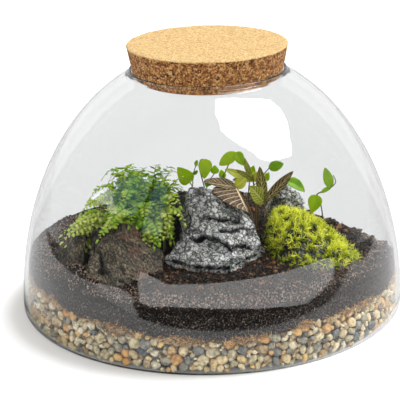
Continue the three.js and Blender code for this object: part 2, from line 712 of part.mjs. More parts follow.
// Everything that stands in the filling, and the seats and holes that it needs there
function planting() {
  const seats = [];
  for (const [name, stone] of Object.entries(STONES)) {
    const blocks = stone.blocks.map((corners) => stoneBlock(corners, stone));
    const cut = seats.reduce((body, seat) => body.subtract(seat), fuse(blocks));
    add(name, toGeometry(cut), material(stone.colour, 0.7));
    seats.push(fuse(blocks.map((block, i) => seatOf(block, stone.blocks[i]))));
  }
  const moss = seats.reduce((body, seat) => body.subtract(seat), mossBody());
  const plants = [
    ...FRONDS.map((frond, i) => ({
      name: `fern_frond_${number(i)}`, base: frond.base, radius: RIB * 0.71,
      solid: frondSolid(frond), colour: '#5f9a3a',
    })),
    ...FIG_STEMS.map((stem, i) => ({
      name: `fig_stem_${number(i)}`, base: stem.base, radius: 0.6,
      solid: leafyStem({ ...stem, radius: 0.6 }), colour: '#7fae1f',
    })),
    ...NERVE_STEMS.map((stem, i) => ({
      name: `nerve_plant_${number(i)}`, base: stem.base, radius: 0.9,
      solid: leafyStem({
        ...stem, radius: 0.9, leaves: stem.leaves.map((leaf) => ({ wave: 0.5, rows: 5, ...leaf })),
      }),
      colour: '#6b5a33',
    })),
  ];
  const holes = plants.map(({ base, radius }) => {
    const level = soilHeight(base[0], base[1]);
    const hole = new THREE.CylinderGeometry(radius + HOLE_GAP, radius + HOLE_GAP, 2 * HOLE_DEPTH, 6);
    hole.rotateX(Math.PI / 2);
    hole.translate(base[0], base[1], level + 1 - GAP);
    return toSolid(hole);
  });
  let soil = soilBody();
  for (const seat of [...seats, grown(moss, GAP), ...holes]) soil = soil.subtract(seat);
  add('potting_soil', toGeometry(soil), material('#3a2b20', 1));
  add('moss_cushion', toGeometry(moss), material('#a9b52a', 1));
  for (const { name, solid, colour } of plants) add(name, toGeometry(solid), material(colour, 0.6));
}

glassDome();
corkStopper();
gravelLayer();
fibreMat();
planting();

export default root;
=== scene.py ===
"""Glass plant terrarium: the looks of each piece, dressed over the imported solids.

Everything is shaped in millimetres and turned to metres when a piece is finished.
"""
import math
import random
from functools import partial

import bmesh
import bpy
from mathutils import Matrix, Vector, kdtree, noise


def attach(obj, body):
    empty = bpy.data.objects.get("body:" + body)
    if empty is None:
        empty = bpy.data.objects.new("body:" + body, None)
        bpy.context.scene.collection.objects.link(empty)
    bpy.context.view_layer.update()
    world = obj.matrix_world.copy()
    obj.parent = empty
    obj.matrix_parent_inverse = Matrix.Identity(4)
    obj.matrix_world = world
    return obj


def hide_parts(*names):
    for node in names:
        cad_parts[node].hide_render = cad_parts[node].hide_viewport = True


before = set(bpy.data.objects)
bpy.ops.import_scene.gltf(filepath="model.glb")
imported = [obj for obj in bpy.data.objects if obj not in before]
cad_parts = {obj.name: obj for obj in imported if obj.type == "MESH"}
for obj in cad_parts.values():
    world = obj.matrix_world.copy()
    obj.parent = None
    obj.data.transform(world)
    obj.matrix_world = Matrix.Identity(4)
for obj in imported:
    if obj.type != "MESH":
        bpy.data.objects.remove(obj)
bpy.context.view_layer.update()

# Camera: a long lens that looks down on the dome a little, from 1.2 m away

PICTURE = 400  # width and height of the frame
AIM = Vector((0, 0, 0.075))
DISTANCE = 1.2
HEIGHT_ANGLE = math.radians(19.39)

camera_data = bpy.data.cameras.new("studio_camera")
camera_data.lens = 137.4
camera_data.sensor_width = 36
camera_data.shift_x = -10.5 / PICTURE
camera_data.shift_y = 7.8 / PICTURE
camera = bpy.data.objects.new("studio_camera", camera_data)
bpy.context.collection.objects.link(camera)
camera.location = AIM + DISTANCE * Vector((0, -math.cos(HEIGHT_ANGLE), math.sin(HEIGHT_ANGLE)))
camera.rotation_euler = (AIM - camera.location).to_track_quat("-Z", "Y").to_euler()
camera.rotation_euler.rotate_axis("Z", math.radians(-1.2))
bpy.context.scene.camera = camera

# Driving sizes, the same values as in the part's source

DOME_RADIUS = 150
DOME_TOP = 201.12
DOME_POWER = 2.048
DOME_ROOT = 2.103
WALL = 3
FLOOR = 1.6  # inside bottom of the glass, so thin that pebbles show down to the edge
BASE_CORNER = 5
NECK_OUTER = 60.4
NECK_INNER = 58.4
RIM_TOP = 188.9
CORK_TOP = 207.8
CORK_FOOT = 180
CORK_RIM_RADIUS = 58
CORK_TAPER = 0.201
GRAVEL_MEAN = 29.1
GRAVEL_WAVES = [(1, 2.6, -3.3), (2, -2, 2.4), (3, -3.4, -0.4), (4, -1.7, -0.2)]
MAT_FOOT = 0.7  # above the gravel
MAT_TOP = 2.3
SOIL_FOOT = 2.9
SOIL_RADIUS = 143
GAP = 0.35  # kept free between loose pieces and the glass
ROOTS = 9.5  # how far stalks go down into the soil
UP = Vector((0, 0, 1))
ABOUT_ROUND = 6.28  # a full turn, near enough for a seeded draw


def dome_radius(z):
    return DOME_RADIUS * (1 - (z / DOME_TOP) ** DOME_POWER) ** (1 / DOME_ROOT)


def under_glass(z):
    """Where the inside of the wall is, behind the outside at height z."""
    slope = dome_radius(z + 0.5) - dome_radius(z - 0.5)
    length = math.hypot(1, slope)
    return dome_radius(z) - WALL / length, z + WALL * slope / length


def inner_wall_points():
    """The inside of the glass from its floor to the neck, as radius and height."""
    points = [(144.6, FLOOR), (145.9, 2.1), (146.5, 3.4), (146.8, 5.4)]
    return points + [under_glass(8 + (180 - 8) * k / 60) for k in range(61)]


INNER_WALL = inner_wall_points()


def inner_radius(z):
    for (r0, z0), (r1, z1) in zip(INNER_WALL[1:], INNER_WALL[2:]):
        if z <= z1:
            return r0 + (r1 - r0) * (z - z0) / (z1 - z0)
    return INNER_WALL[-1][0]


def polar(turn, radius, z):
    """A turn of 0 is the front, and it grows towards the right."""
    return Vector((radius * math.sin(turn), -radius * math.cos(turn), z))


# Where the fibres bulge out at the glass: the turn of each clump and how far it spreads
CLUMPS = [(-0.95, 0.08), (-0.52, 0.09), (-0.15, 0.07), (0.16, 0.09), (0.47, 0.03), (0.83, 0.12)]
CLUMPS += [(1.3 + 0.31 * k, 0.09) for k in range(13)]


def fringe(turn):
    turn = (turn + 1.1) % math.tau - 1.1
    ragged = 0.85 + 0.9 * noise.noise(Vector((turn * 22, 0.3, 0.7)))
    return min(1, ragged * sum(math.exp(-((turn - middle) / (1.2 * spread)) ** 2)
                               for middle, spread in CLUMPS))


def gravel_top(turn, part=1.0):
    """Top of the gravel; against the glass it dips a little at both sides."""
    wave = sum(c * math.cos(n * turn) + s * math.sin(n * turn) for n, c, s in GRAVEL_WAVES)
    turn = (turn + math.pi) % math.tau - math.pi
    dip = 4.5 * math.exp(-((turn + 0.78) / 0.25) ** 2) + 6 * math.exp(-((turn - 0.95) / 0.35) ** 2)
    return GRAVEL_MEAN + wave * part * part - dip * part ** 8


def soil_height(x, y):
    """A low hill in the middle; it sinks behind, and falls away at the back right."""
    beyond = 0.85 * x + 0.527 * y - 104
    away = math.hypot(x + 5, y - 22) / 62
    return 48 + 6 * math.exp(-away * away) - 0.06 * max(0, y) - 0.52 * max(0, beyond)


# Small tools for materials and meshes


def linear(code):
    values = [int(code[k:k + 2], 16) / 255 for k in (1, 3, 5)]
    return [v / 12.92 if v <= 0.04045 else ((v + 0.055) / 1.055) ** 2.4 for v in values] + [1]


def connect(made, *values, **named):
    """Sets or links a node's sockets, by order or by name, where _ stands for a space. A text
    is the code of a colour."""
    for key, value in [*enumerate(values), *named.items()]:
        socket = made.inputs[key.replace("_", " ") if isinstance(key, str) else key]
        if isinstance(value, str):
            value = linear(value)
        if isinstance(value, bpy.types.Node):
            value = value.outputs[0]
        if isinstance(value, bpy.types.NodeSocket):
            made.id_data.links.new(value, socket)
        else:
            socket.default_value = value


def node(tree, kind, *values, stops=(), **named):
    """Adds a node. A name in small letters is one of its settings, any other is a socket."""
    made = tree.nodes.new("ShaderNode" + kind)
    for name in [name for name in named if name[0].islower()]:
        setattr(made, name, named.pop(name))
    if stops:
        ramp = made.color_ramp
        while len(ramp.elements) < len(stops):
            ramp.elements.new(0.5)
        for element, (place, code) in zip(ramp.elements, stops):
            element.position = place
            element.color = linear(code)
    connect(made, *values, **named)
    return made


def material(name, roughness, **named):
    """A material, what adds nodes to it, and its shader, whose own sockets are set here."""
    made = bpy.data.materials.new(name)
    made.use_nodes = True
    tree = made.node_tree
    shader = tree.nodes["Principled BSDF"]
    connect(shader, Roughness=roughness, **named)
    return made, partial(node, tree), shader


def readings(add):
    """What a pattern follows: the place on the piece, and the tone of each copy."""
    place = add("TexCoord").outputs["Object"]
    return place, add("Attribute", attribute_name="tone").outputs["Fac"]


def per(size):
    """Texture scale for a pattern of that size in millimetres."""
    return 1000 / size


def tube_mesh(paths, rounding=1):
    """One mesh of round stems: each path is a list of points with a radius at each."""
    curve = bpy.data.curves.new("stems", "CURVE")
    curve.dimensions = "3D"
    curve.bevel_depth = 1
    curve.bevel_resolution = rounding
    curve.use_fill_caps = True
    for path in paths:
        spline = curve.splines.new("POLY")
        spline.points.add(len(path) - 1)
        for point, (place, radius) in zip(spline.points, path):
            point.co = (*place, 1)
            point.radius = radius
    carrier = bpy.data.objects.new("stems", curve)
    mesh = bpy.data.meshes.new_from_object(carrier)
    bpy.data.objects.remove(carrier)
    bpy.data.curves.remove(curve)
    return mesh


def posed(centre, turn, size):
    """Where a copy goes: its middle, its turn as a matrix and its size."""
    return Matrix.LocRotScale(centre, turn.to_quaternion(), (size,) * 3)


def tumbled(draw):
    return Matrix.Rotation(draw.uniform(0, ABOUT_ROUND), 3, draw.choice("XYZ"))


def spun(draw):
    return Matrix.Rotation(draw.uniform(0, ABOUT_ROUND), 3, "Z")


def clamp(value):
    return min(1, max(0, value))


def shape(bm):
    """Keeps a bmesh as a small shape that is copied many times."""
    bmesh.ops.recalc_face_normals(bm, faces=bm.faces[:])
    mesh = bpy.data.meshes.new("shape")
    bm.to_mesh(mesh)
    bm.free()
    return mesh


class Piece:
    """One piece in the making. tone is a number for each copy, along one for each corner."""

    def __init__(self):
        self.bm = bmesh.new()
        self.tones = []
        self.alongs = []

    def put(self, mesh, place=None, tone=0.5, slot=0, along=None):
        copy = mesh.copy()
        if place is not None:
            copy.transform(place)
        if slot:
            for face in copy.polygons:
                face.material_index = slot
        self.bm.from_mesh(copy, face_normals=False, vertex_normals=False)
        bpy.data.meshes.remove(copy)
        count = len(mesh.vertices)
        self.tones += [tone] * count
        self.alongs += along if along is not None else [0.5] * count

    def finish(self, name, nodes, slot, materials, smooth=True):
        mesh = bpy.data.meshes.new(name)
        self.bm.transform(Matrix.Scale(0.001, 4))
        self.bm.normal_update()
        self.bm.to_mesh(mesh)
        self.bm.free()
        if self.tones:
            for key, values in (("tone", self.tones), ("along", self.alongs)):
                layer = mesh.attributes.new(key, "FLOAT", "POINT")
                layer.data.foreach_set("value", values)
        for made in materials:
            mesh.materials.append(made)
        if smooth:
            mesh.shade_smooth()
        piece = bpy.data.objects.new(name, mesh)
        bpy.context.collection.objects.link(piece)
        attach(piece, "root")
        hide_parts(*nodes)


def turned(profile, steps):
    """A closed body of revolution about the upright axis from its outline."""
    bm = bmesh.new()
    corners = [bm.verts.new((r, 0, z)) for r, z in profile]
    edges = [bm.edges.new(pair) for pair in zip(corners, corners[1:])]
    bmesh.ops.spin(bm, geom=corners + edges, cent=(0, 0, 0), axis=(0, 0, 1),
                   angle=math.tau, steps=steps, use_merge=True)
    bmesh.ops.remove_doubles(bm, verts=bm.verts[:], dist=1e-4)
    bmesh.ops.recalc_face_normals(bm, faces=bm.faces[:])
    return bm


# Glass dome: clear soda-lime glass, mould-blown. The eye sees it by its thin grey outline,
# by the white lamp and the pale table that it mirrors, and by its thick bright base.


def clear_glass():
    made, add, shader = material("clear_soda_lime_glass", 0.0, IOR=1.5,
                                  Transmission_Weight=1.0, Base_Color="#fdfefe")
    through = add("BsdfTransparent", Color="#fbfcfc")
    path = add("LightPath")
    passing = add("Math", path.outputs["Is Shadow Ray"], path.outputs["Is Diffuse Ray"],
                  operation="MAXIMUM")
    both = add("MixShader", passing, shader, through)
    connect(made.node_tree.nodes["Material Output"], Surface=both)
    return made


BEND_STEPS = 10


def round_bend(x, z, radius, start, end):
    """Points on an arc of the outline, from one angle to another in degrees."""
    points = []
    for k in range(BEND_STEPS + 1):
        angle = math.radians(start + (end - start) * k / BEND_STEPS)
        points.append((x + radius * math.cos(angle), z + radius * math.sin(angle)))
    return points


def glass_dome():
    outside = [(0, 0)]
    for k in range(9):
        turn = math.pi / 2 * k / 8
        outside.append((DOME_RADIUS - 0.05 - BASE_CORNER * (1 - math.sin(turn)),
                        BASE_CORNER * (1 - math.cos(turn))))
    outside += [(dome_radius(z), z) for z in [8 + (182 - 8) * k / 72 for k in range(73)]]
    outside += [(dome_radius(z), z) for z in (183, 184, 185)]
    # The bend out of the wall, the round rim and the bend inside the neck
    neck = round_bend(62, 186.95, 62 - NECK_OUTER, 231, 180)
    neck += round_bend(59.4, RIM_TOP - 1, 1, 0, 180)
    neck += round_bend(62.4, 186.07, 62.4 - NECK_INNER, 180, 230)
    inside = [under_glass(z) for z in (184, 183, 182, 181)]
    inside += [(r, z) for r, z in reversed(INNER_WALL) if r > 66]
    dome = Piece()
    dome.bm = turned(outside + neck + inside + [(0, FLOOR)], 192)
    dome.finish("dome_of_glass", ["glass_dome"], "glass", [clear_glass()])


# Cork stopper: agglomerated cork, ground bark pressed into a block and turned. Its top is
# sanded, light and finely speckled; its side shows coarser, browner grains with pits, and is
# painted darker, partly as shade.


def pressed_cork(name, grain, tones, pit, lift):
    made, add, shader = material(name, 0.85)
    place = add("TexCoord").outputs["Object"]
    bend = add("TexNoise", Vector=place, Scale=per(grain * 1.6), Detail=3.0)
    bent = add("MixRGB", 0.0012, place, bend.outputs["Color"], blend_type="ADD")
    grains = add("TexVoronoi", Vector=bent, Scale=per(grain))
    shade = add("SeparateColor", grains.outputs["Color"])
    speck = add("TexNoise", Vector=place, Scale=per(0.7), Detail=4.0, Roughness=0.7)
    blend = add("Mix", Factor=0.38, A=shade, B=speck)
    colour = add("ValToRGB", blend, stops=tones)
    small = add("TexVoronoi", Vector=bent, Scale=per(grain * 0.8), feature="DISTANCE_TO_EDGE")
    seam = add("ValToRGB", small, stops=[(0.0, "#2b170a"), (0.09, "#ffffff")])
    dots = add("TexNoise", Vector=place, Scale=per(2.2), Detail=2.0)
    pits = add("ValToRGB", dots, stops=[(pit, "#4a2c14"), (pit + 0.05, "#ffffff")])
    seamed = add("MixRGB", 0.55, colour, seam, blend_type="MULTIPLY")
    pitted = add("MixRGB", 0.8, seamed, pits, blend_type="MULTIPLY")
    relief = add("Bump", Height=add("MixRGB", 0.5, seam, pits), Strength=lift, Distance=0.0006)
    connect(shader, Base_Color=pitted, Normal=relief)
    return made


def cork_stopper():
    def radius(z):
        return CORK_RIM_RADIUS + CORK_TAPER * (z - RIM_TOP)
    low = radius(CORK_FOOT)
    high = radius(CORK_TOP)
    profile = [(0, CORK_FOOT)] + [(low * k / 8, CORK_FOOT) for k in range(1, 8)]
    profile += [(low - 1.2, CORK_FOOT), (low - 0.3, CORK_FOOT + 0.4), (low, CORK_FOOT + 1.3)]
    profile += [(radius(CORK_FOOT + k), CORK_FOOT + k) for k in range(2, 27)]
    profile += [(high - 0.1, CORK_TOP - 0.9), (high - 0.5, CORK_TOP - 0.3), (high - 1.3, CORK_TOP)]
    profile += [((high - 1.3) * (1 - k / 34), CORK_TOP) for k in range(1, 34)] + [(0, CORK_TOP)]
    stopper = Piece()
    stopper.bm = turned(profile, 240)
    for corner in stopper.bm.verts:
        at = corner.co
        side = math.hypot(at.x, at.y) > high - 3.5 or at.z < CORK_TOP - 1
        lumps = noise.noise(at * 0.9) + 0.6 * noise.noise(at * 1.9 + UP * 7)
        pit = max(0.0, noise.noise(at * 0.33 + UP * 31) - 0.42)
        inward = (0.22 if side else 0.07) * (1.1 + lumps) + (2.2 if side else 0.9) * pit
        normal = Vector((at.x, at.y, 0)).normalized() if side else UP
        if at.z > CORK_TOP - 1 and side:
            normal = (normal + UP).normalized()
        if at.z > CORK_FOOT + 1:
            corner.co = at - normal * min(inward, 1.5)
    for face in stopper.bm.faces:
        middle = face.calc_center_median()
        if middle.z > CORK_TOP - 1.2 and face.normal.z > 0.4:
            face.material_index = 1
    # The side's darker colours are partly painted shade.
    side = pressed_cork("agglomerated_cork_side_painted_shade", 1.25, [
        (0.2, "#63330f"), (0.42, "#9d6029"), (0.6, "#c0823f"), (0.82, "#e6b878")], 0.36, 1.0)
    top = pressed_cork("agglomerated_cork_sanded", 1.0, [
        (0.2, "#a97c42"), (0.4, "#c09d64"), (0.6, "#caab72"), (0.85, "#d8bd88")], 0.27, 0.3)
    stopper.finish("stopper_of_cork", ["cork_stopper"], "cork", [side, top])


# Gravel: washed river pebbles of 4 to 11 mm, smooth and silky, in beige, ochre, orange,
# grey and slate blue, packed against the glass.


def river_pebbles():
    made, add, shader = material("washed_river_pebbles", 0.42)
    place, tone = readings(add)
    spots = add("TexNoise", Vector=place, Scale=per(2.6), Detail=5.0, Roughness=0.65)
    mixed = add("MixRGB", 0.12, tone, spots)
    colour = add("ValToRGB", mixed, stops=[
        (0.06, "#565c66"), (0.15, "#8d8a80"), (0.24, "#b5a98a"), (0.36, "#e2cf9f"),
        (0.46, "#f3e8cd"), (0.56, "#f0c97e"), (0.65, "#d99a50"), (0.75, "#e9d3a2"),
        (0.86, "#b08c5c"), (0.95, "#d4c5a4")])
    cloud = add("ValToRGB", spots, stops=[(0.34, "#6d6350"), (0.6, "#ffffff")])
    both = add("MixRGB", 0.75, colour, cloud, blend_type="MULTIPLY")
    grit = add("TexNoise", Vector=place, Scale=per(0.8), Detail=3.0)
    relief = add("Bump", Height=grit, Strength=0.3, Distance=0.0003)
    connect(shader, Base_Color=both, Normal=relief)
    return made


def painted_shade_core():
    """A dark core behind the pebbles; its colour is painted shade that shows in the gaps of the
    outer ones.
    """
    made, add, shader = material("gravel_core_painted_shade", 0.9)
    place = add("TexCoord").outputs["Object"]
    grains = add("TexVoronoi", Vector=place, Scale=per(5))
    shade = add("SeparateColor", grains.outputs["Color"])
    colour = add("ValToRGB", shade, stops=[(0.0, "#23262b"), (0.5, "#4a4a48"), (1.0, "#6f6552")])
    relief = add("Bump", Height=grains, Strength=1.0, Distance=0.002, invert=True)
    connect(shader, Base_Color=colour, Normal=relief)
    return made


NESTED = 0.78  # pebbles lie this much of their two radii apart


def pebble_shapes(draw):
    shapes = []
    for k in range(12):
        bm = bmesh.new()
        bmesh.ops.create_icosphere(bm, subdivisions=2, radius=1)
        for corner in bm.verts:
            at = corner.co.copy()
            lump = noise.noise(at * 0.9 + UP * (9 * k)) * 0.42
            lump += noise.noise(at * 2.1 + UP * (5 * k)) * 0.16
            corner.co = at * (1 + lump)
        bmesh.ops.scale(bm, vec=(1, draw.uniform(0.6, 0.92), draw.uniform(0.48, 0.72)),
                        verts=bm.verts[:])
        shapes.append(shape(bm))
    return shapes


def thrown_places(draw, sizes, tries):
    """Places round the wall that keep their distance: turn, height and size of each."""
    taken = []
    rows = {}
    for size in sizes:
        for _ in range(tries):
            turn = draw.uniform(0, math.tau)
            low = FLOOR + 0.5 + 0.8 * size
            z = draw.uniform(low, max(low + 0.1, gravel_top(turn) - 0.35 * size))
            x = turn * 146  # along the wall
            cell = int(x // 12)
            near = [p for c in (cell - 1, cell, cell + 1) for p in rows.get(c, [])]
            if all(math.hypot(x - a, z - b) > NESTED * (size + c) for a, b, c in near):
                rows.setdefault(cell, []).append((x, z, size))
                taken.append((turn, z, size))
                break
    return taken


def gravel_layer():
    draw = random.Random(5)
    shapes = pebble_shapes(draw)
    gravel = Piece()
    foot = FLOOR + 0.3
    top = GRAVEL_MEAN - 1
    # A dark core: painted shade in the gaps between the pebbles at the glass.
    shade_core = turned([(0, foot), (100, foot), (139, foot + 0.4), (141, foot + 3), (140.5, 14),
                   (140.5, 22), (139.5, top), (105, top), (60, top), (0, top)], 120)
    for corner in shade_core.verts:
        x, y, z = corner.co
        part = math.hypot(x, y) / SOIL_RADIUS
        if z > 10:
            rise = (z - 10) / (top - 10)
            corner.co.z += rise * (gravel_top(math.atan2(x, -y), part) - GRAVEL_MEAN)
    gravel.put(shape(shade_core), slot=1)
    # Large, small and tiny pebbles by their radii
    sizes = [draw.triangular(2.9, 5.4, 3.9) for _ in range(620)]
    sizes += [draw.uniform(2.0, 3.2) for _ in range(520)]
    sizes += [draw.uniform(1.2, 2.0) for _ in range(380)]
    for layer, tries in ((0, 60), (1, 18)):  # a dense layer at the glass and a thin one behind
        for turn, z, size in thrown_places(draw, sizes, tries):
            chosen = draw.choice(shapes)
            spin = spun(draw)
            lean = Matrix.Rotation(draw.uniform(0.9, 2.2), 3, "Y")
            roll = Matrix.Rotation(draw.uniform(-0.5, 0.5), 3, "X")
            facing = Matrix.Rotation(turn - math.pi / 2, 3, "Z")
            pose = facing @ roll @ lean @ spin
            out = polar(turn, 1, 0)
            reach = max((pose @ v.co).dot(out) for v in chosen.vertices) * size
            low = min((pose @ v.co).z for v in chosen.vertices) * size
            z = max(z, FLOOR + GAP - low)
            room = 1.3 * fringe(turn) * max(0, 1 - (gravel_top(turn) - z - size) / 4)
            centre = polar(turn, inner_radius(z) - GAP - room - reach - 4.5 * layer, z)
            gravel.put(chosen, posed(centre, pose, size), draw.random())
    # Pebbles on the floor, seen through the base
    for _ in range(420):
        turn = draw.uniform(0, math.tau)
        size = draw.uniform(2.6, 5.0)
        chosen = draw.choice(shapes)
        pose = spun(draw)
        low = min((pose @ v.co).z for v in chosen.vertices) * size
        centre = polar(turn, draw.uniform(60, 136), FLOOR + GAP - low)
        gravel.put(chosen, posed(centre, pose, size), draw.random())
    gravel.finish("gravel_of_pebbles", ["gravel_layer"], "gravel", [river_pebbles(), painted_shade_core()])


# Fibre mat: rusty coconut fibres felted into a sheet, with a ragged edge at the glass.


def coconut_fibre():
    made, add, shader = material("coconut_fibre_felt", 0.9)
    place, tone = readings(add)
    strands = add("TexNoise", Vector=place, Scale=per(1.2), Detail=4.0, Distortion=2.0)
    mixed = add("MixRGB", 0.35, tone, strands)
    colour = add("ValToRGB", mixed, stops=[
        (0.22, "#23140a"), (0.38, "#6e4320"), (0.55, "#bb8544"), (0.85, "#f3cf92")])
    relief = add("Bump", Height=strands, Strength=0.8, Distance=0.0006)
    connect(shader, Base_Color=colour, Normal=relief)
    return made


def strand_shapes(draw, count, thick=0.02):
    """Short bent fibres, one unit long, that lie along X."""
    shapes = []
    for _ in range(count):
        bend = draw.uniform(-0.3, 0.3)
        sway = draw.uniform(-0.3, 0.3)
        path = []
        for k in range(4):
            s = k / 3
            place = (s - 0.5, bend * math.sin(3.1 * s), sway * math.sin(4.4 * s))
            path.append((place, thick * (1 - 0.6 * s)))
        shapes.append(tube_mesh([path], 0))
    return shapes


def fibre_mat():
    draw = random.Random(8)
    mat = Piece()
    rings = (0, 60, 110, 138)
    edge = [(144.5, MAT_FOOT + 0.1), (145, 1.5), (144.5, MAT_TOP - 0.1)]
    sheet = turned([(r, MAT_FOOT) for r in rings] + edge + [(r, MAT_TOP) for r in rings[::-1]], 160)
    for corner in sheet.verts:
        x, y, z = corner.co
        r = math.hypot(x, y)
        turn = math.atan2(x, -y)
        level = gravel_top(turn, min(1, r / SOIL_RADIUS)) + z
        if r > 140:
            r = inner_radius(level) - 0.7 - 0.8 * abs(noise.noise(Vector((turn * 40, z, 0))))
            r -= 2.4 * (1 - fringe(turn))
        corner.co = polar(turn, r, level)
    mat.put(shape(sheet), tone=0.35)
    strands = strand_shapes(draw, 8, 0.055)
    for _ in range(4600):
        middle, spread = draw.choice(CLUMPS)
        turn = draw.gauss(middle, spread) if draw.random() < 0.93 else draw.uniform(0, ABOUT_ROUND)
        bulge = 0.4 + fringe(turn)
        wave = 2.4 * noise.noise(Vector((turn * 16, 2.2, 0.4)))
        level = gravel_top(turn) + wave + draw.triangular(-3 * bulge, 4 * bulge, 1.2)
        length = draw.uniform(1.8, 4.8)
        facing = Matrix.Rotation(turn, 3, "Z")
        lean = Matrix.Rotation(draw.gauss(0, 1.0), 3, "Y")
        pose = (facing @ lean).to_quaternion()
        centre = polar(turn, inner_radius(level) - draw.uniform(0.4, 1.5), level)
        thick = length * draw.uniform(0.8, 1.3)
        place = Matrix.LocRotScale(centre, pose, (length, 0.4 * thick, thick))
        mat.put(draw.choice(strands), place, draw.random())
    mat.finish("mat_of_fibre", ["fibre_mat"], "coconut_fibre", [coconut_fibre()])


# Potting soil: damp peat and bark, nearly black in the mass, with brown crumbs, pale chips
# and short fibres on top.


def potting_soil_finish():
    made, add, shader = material("damp_peat_soil", 0.95, Specular_IOR_Level=0.12)
    place, tone = readings(add)
    crumbs = add("TexNoise", Vector=place, Scale=per(3.0), Detail=8.0, Roughness=0.8)
    mixed = add("MixRGB", 0.55, tone, crumbs)
    colour = add("ValToRGB", mixed, stops=[
        (0.41, "#040302"), (0.47, "#180f09"), (0.53, "#4d321d"), (0.59, "#8c6140"),
        (0.74, "#c09b74")])
    patches = add("TexNoise", Vector=place, Scale=per(26), Detail=3.0)
    rusty = add("ValToRGB", patches, stops=[(0.42, "#ffffff"), (0.6, "#ffc4a0")])
    warm = add("MixRGB", 1.0, colour, rusty, blend_type="MULTIPLY")
    grit = add("TexNoise", Vector=place, Scale=per(1.2), Detail=2.0, Roughness=0.6)
    wall = add("Attribute", attribute_name="along").outputs["Fac"]
    luck = add("Math", wall, 0.13, grit, operation="MULTIPLY_ADD")
    chosen = add("ValToRGB", luck, stops=[(0.53, "#000000"), (0.66, "#666666"), (0.9, "#ffffff")])
    dotted = add("MixRGB", chosen, warm, "#d8c5b6")
    relief = add("Bump", Height=crumbs, Strength=1.0, Distance=0.003)
    finer = add("Bump", Height=grit, Strength=0.8, Distance=0.0008, Normal=relief)
    connect(shader, Base_Color=dotted, Normal=finer)
    return made


def crumb_shapes(draw, count):
    shapes = []
    for _ in range(count):
        bm = bmesh.new()
        bmesh.ops.create_icosphere(bm, subdivisions=1, radius=1)
        for corner in bm.verts:
            corner.co *= draw.uniform(0.62, 1.15)
        bmesh.ops.scale(bm, vec=(1, draw.uniform(0.6, 1), draw.uniform(0.5, 0.9)),
                        verts=bm.verts[:])
        shapes.append(shape(bm))
    return shapes


def soil_surface(x, y):
    """Height of the soil with its lumps and crumbs."""
    at = Vector((x, y, 0))
    coarse = 0.5 + max(0, x - 60) / 60 if y > -60 else 0.6
    lumps = noise.noise(at * 0.055) * 1.6 + noise.noise(at * 0.16 + UP * 3) * 1.3 * coarse
    bank = 11 * math.exp(-((x + 103) / 20) ** 2 - ((y + 77) / 17) ** 2)
    bank *= clamp((142 - math.hypot(x, y)) / 12)
    return soil_height(x, y) + lumps + noise.noise(at * 0.42 + UP * 5) * 0.9 + bank


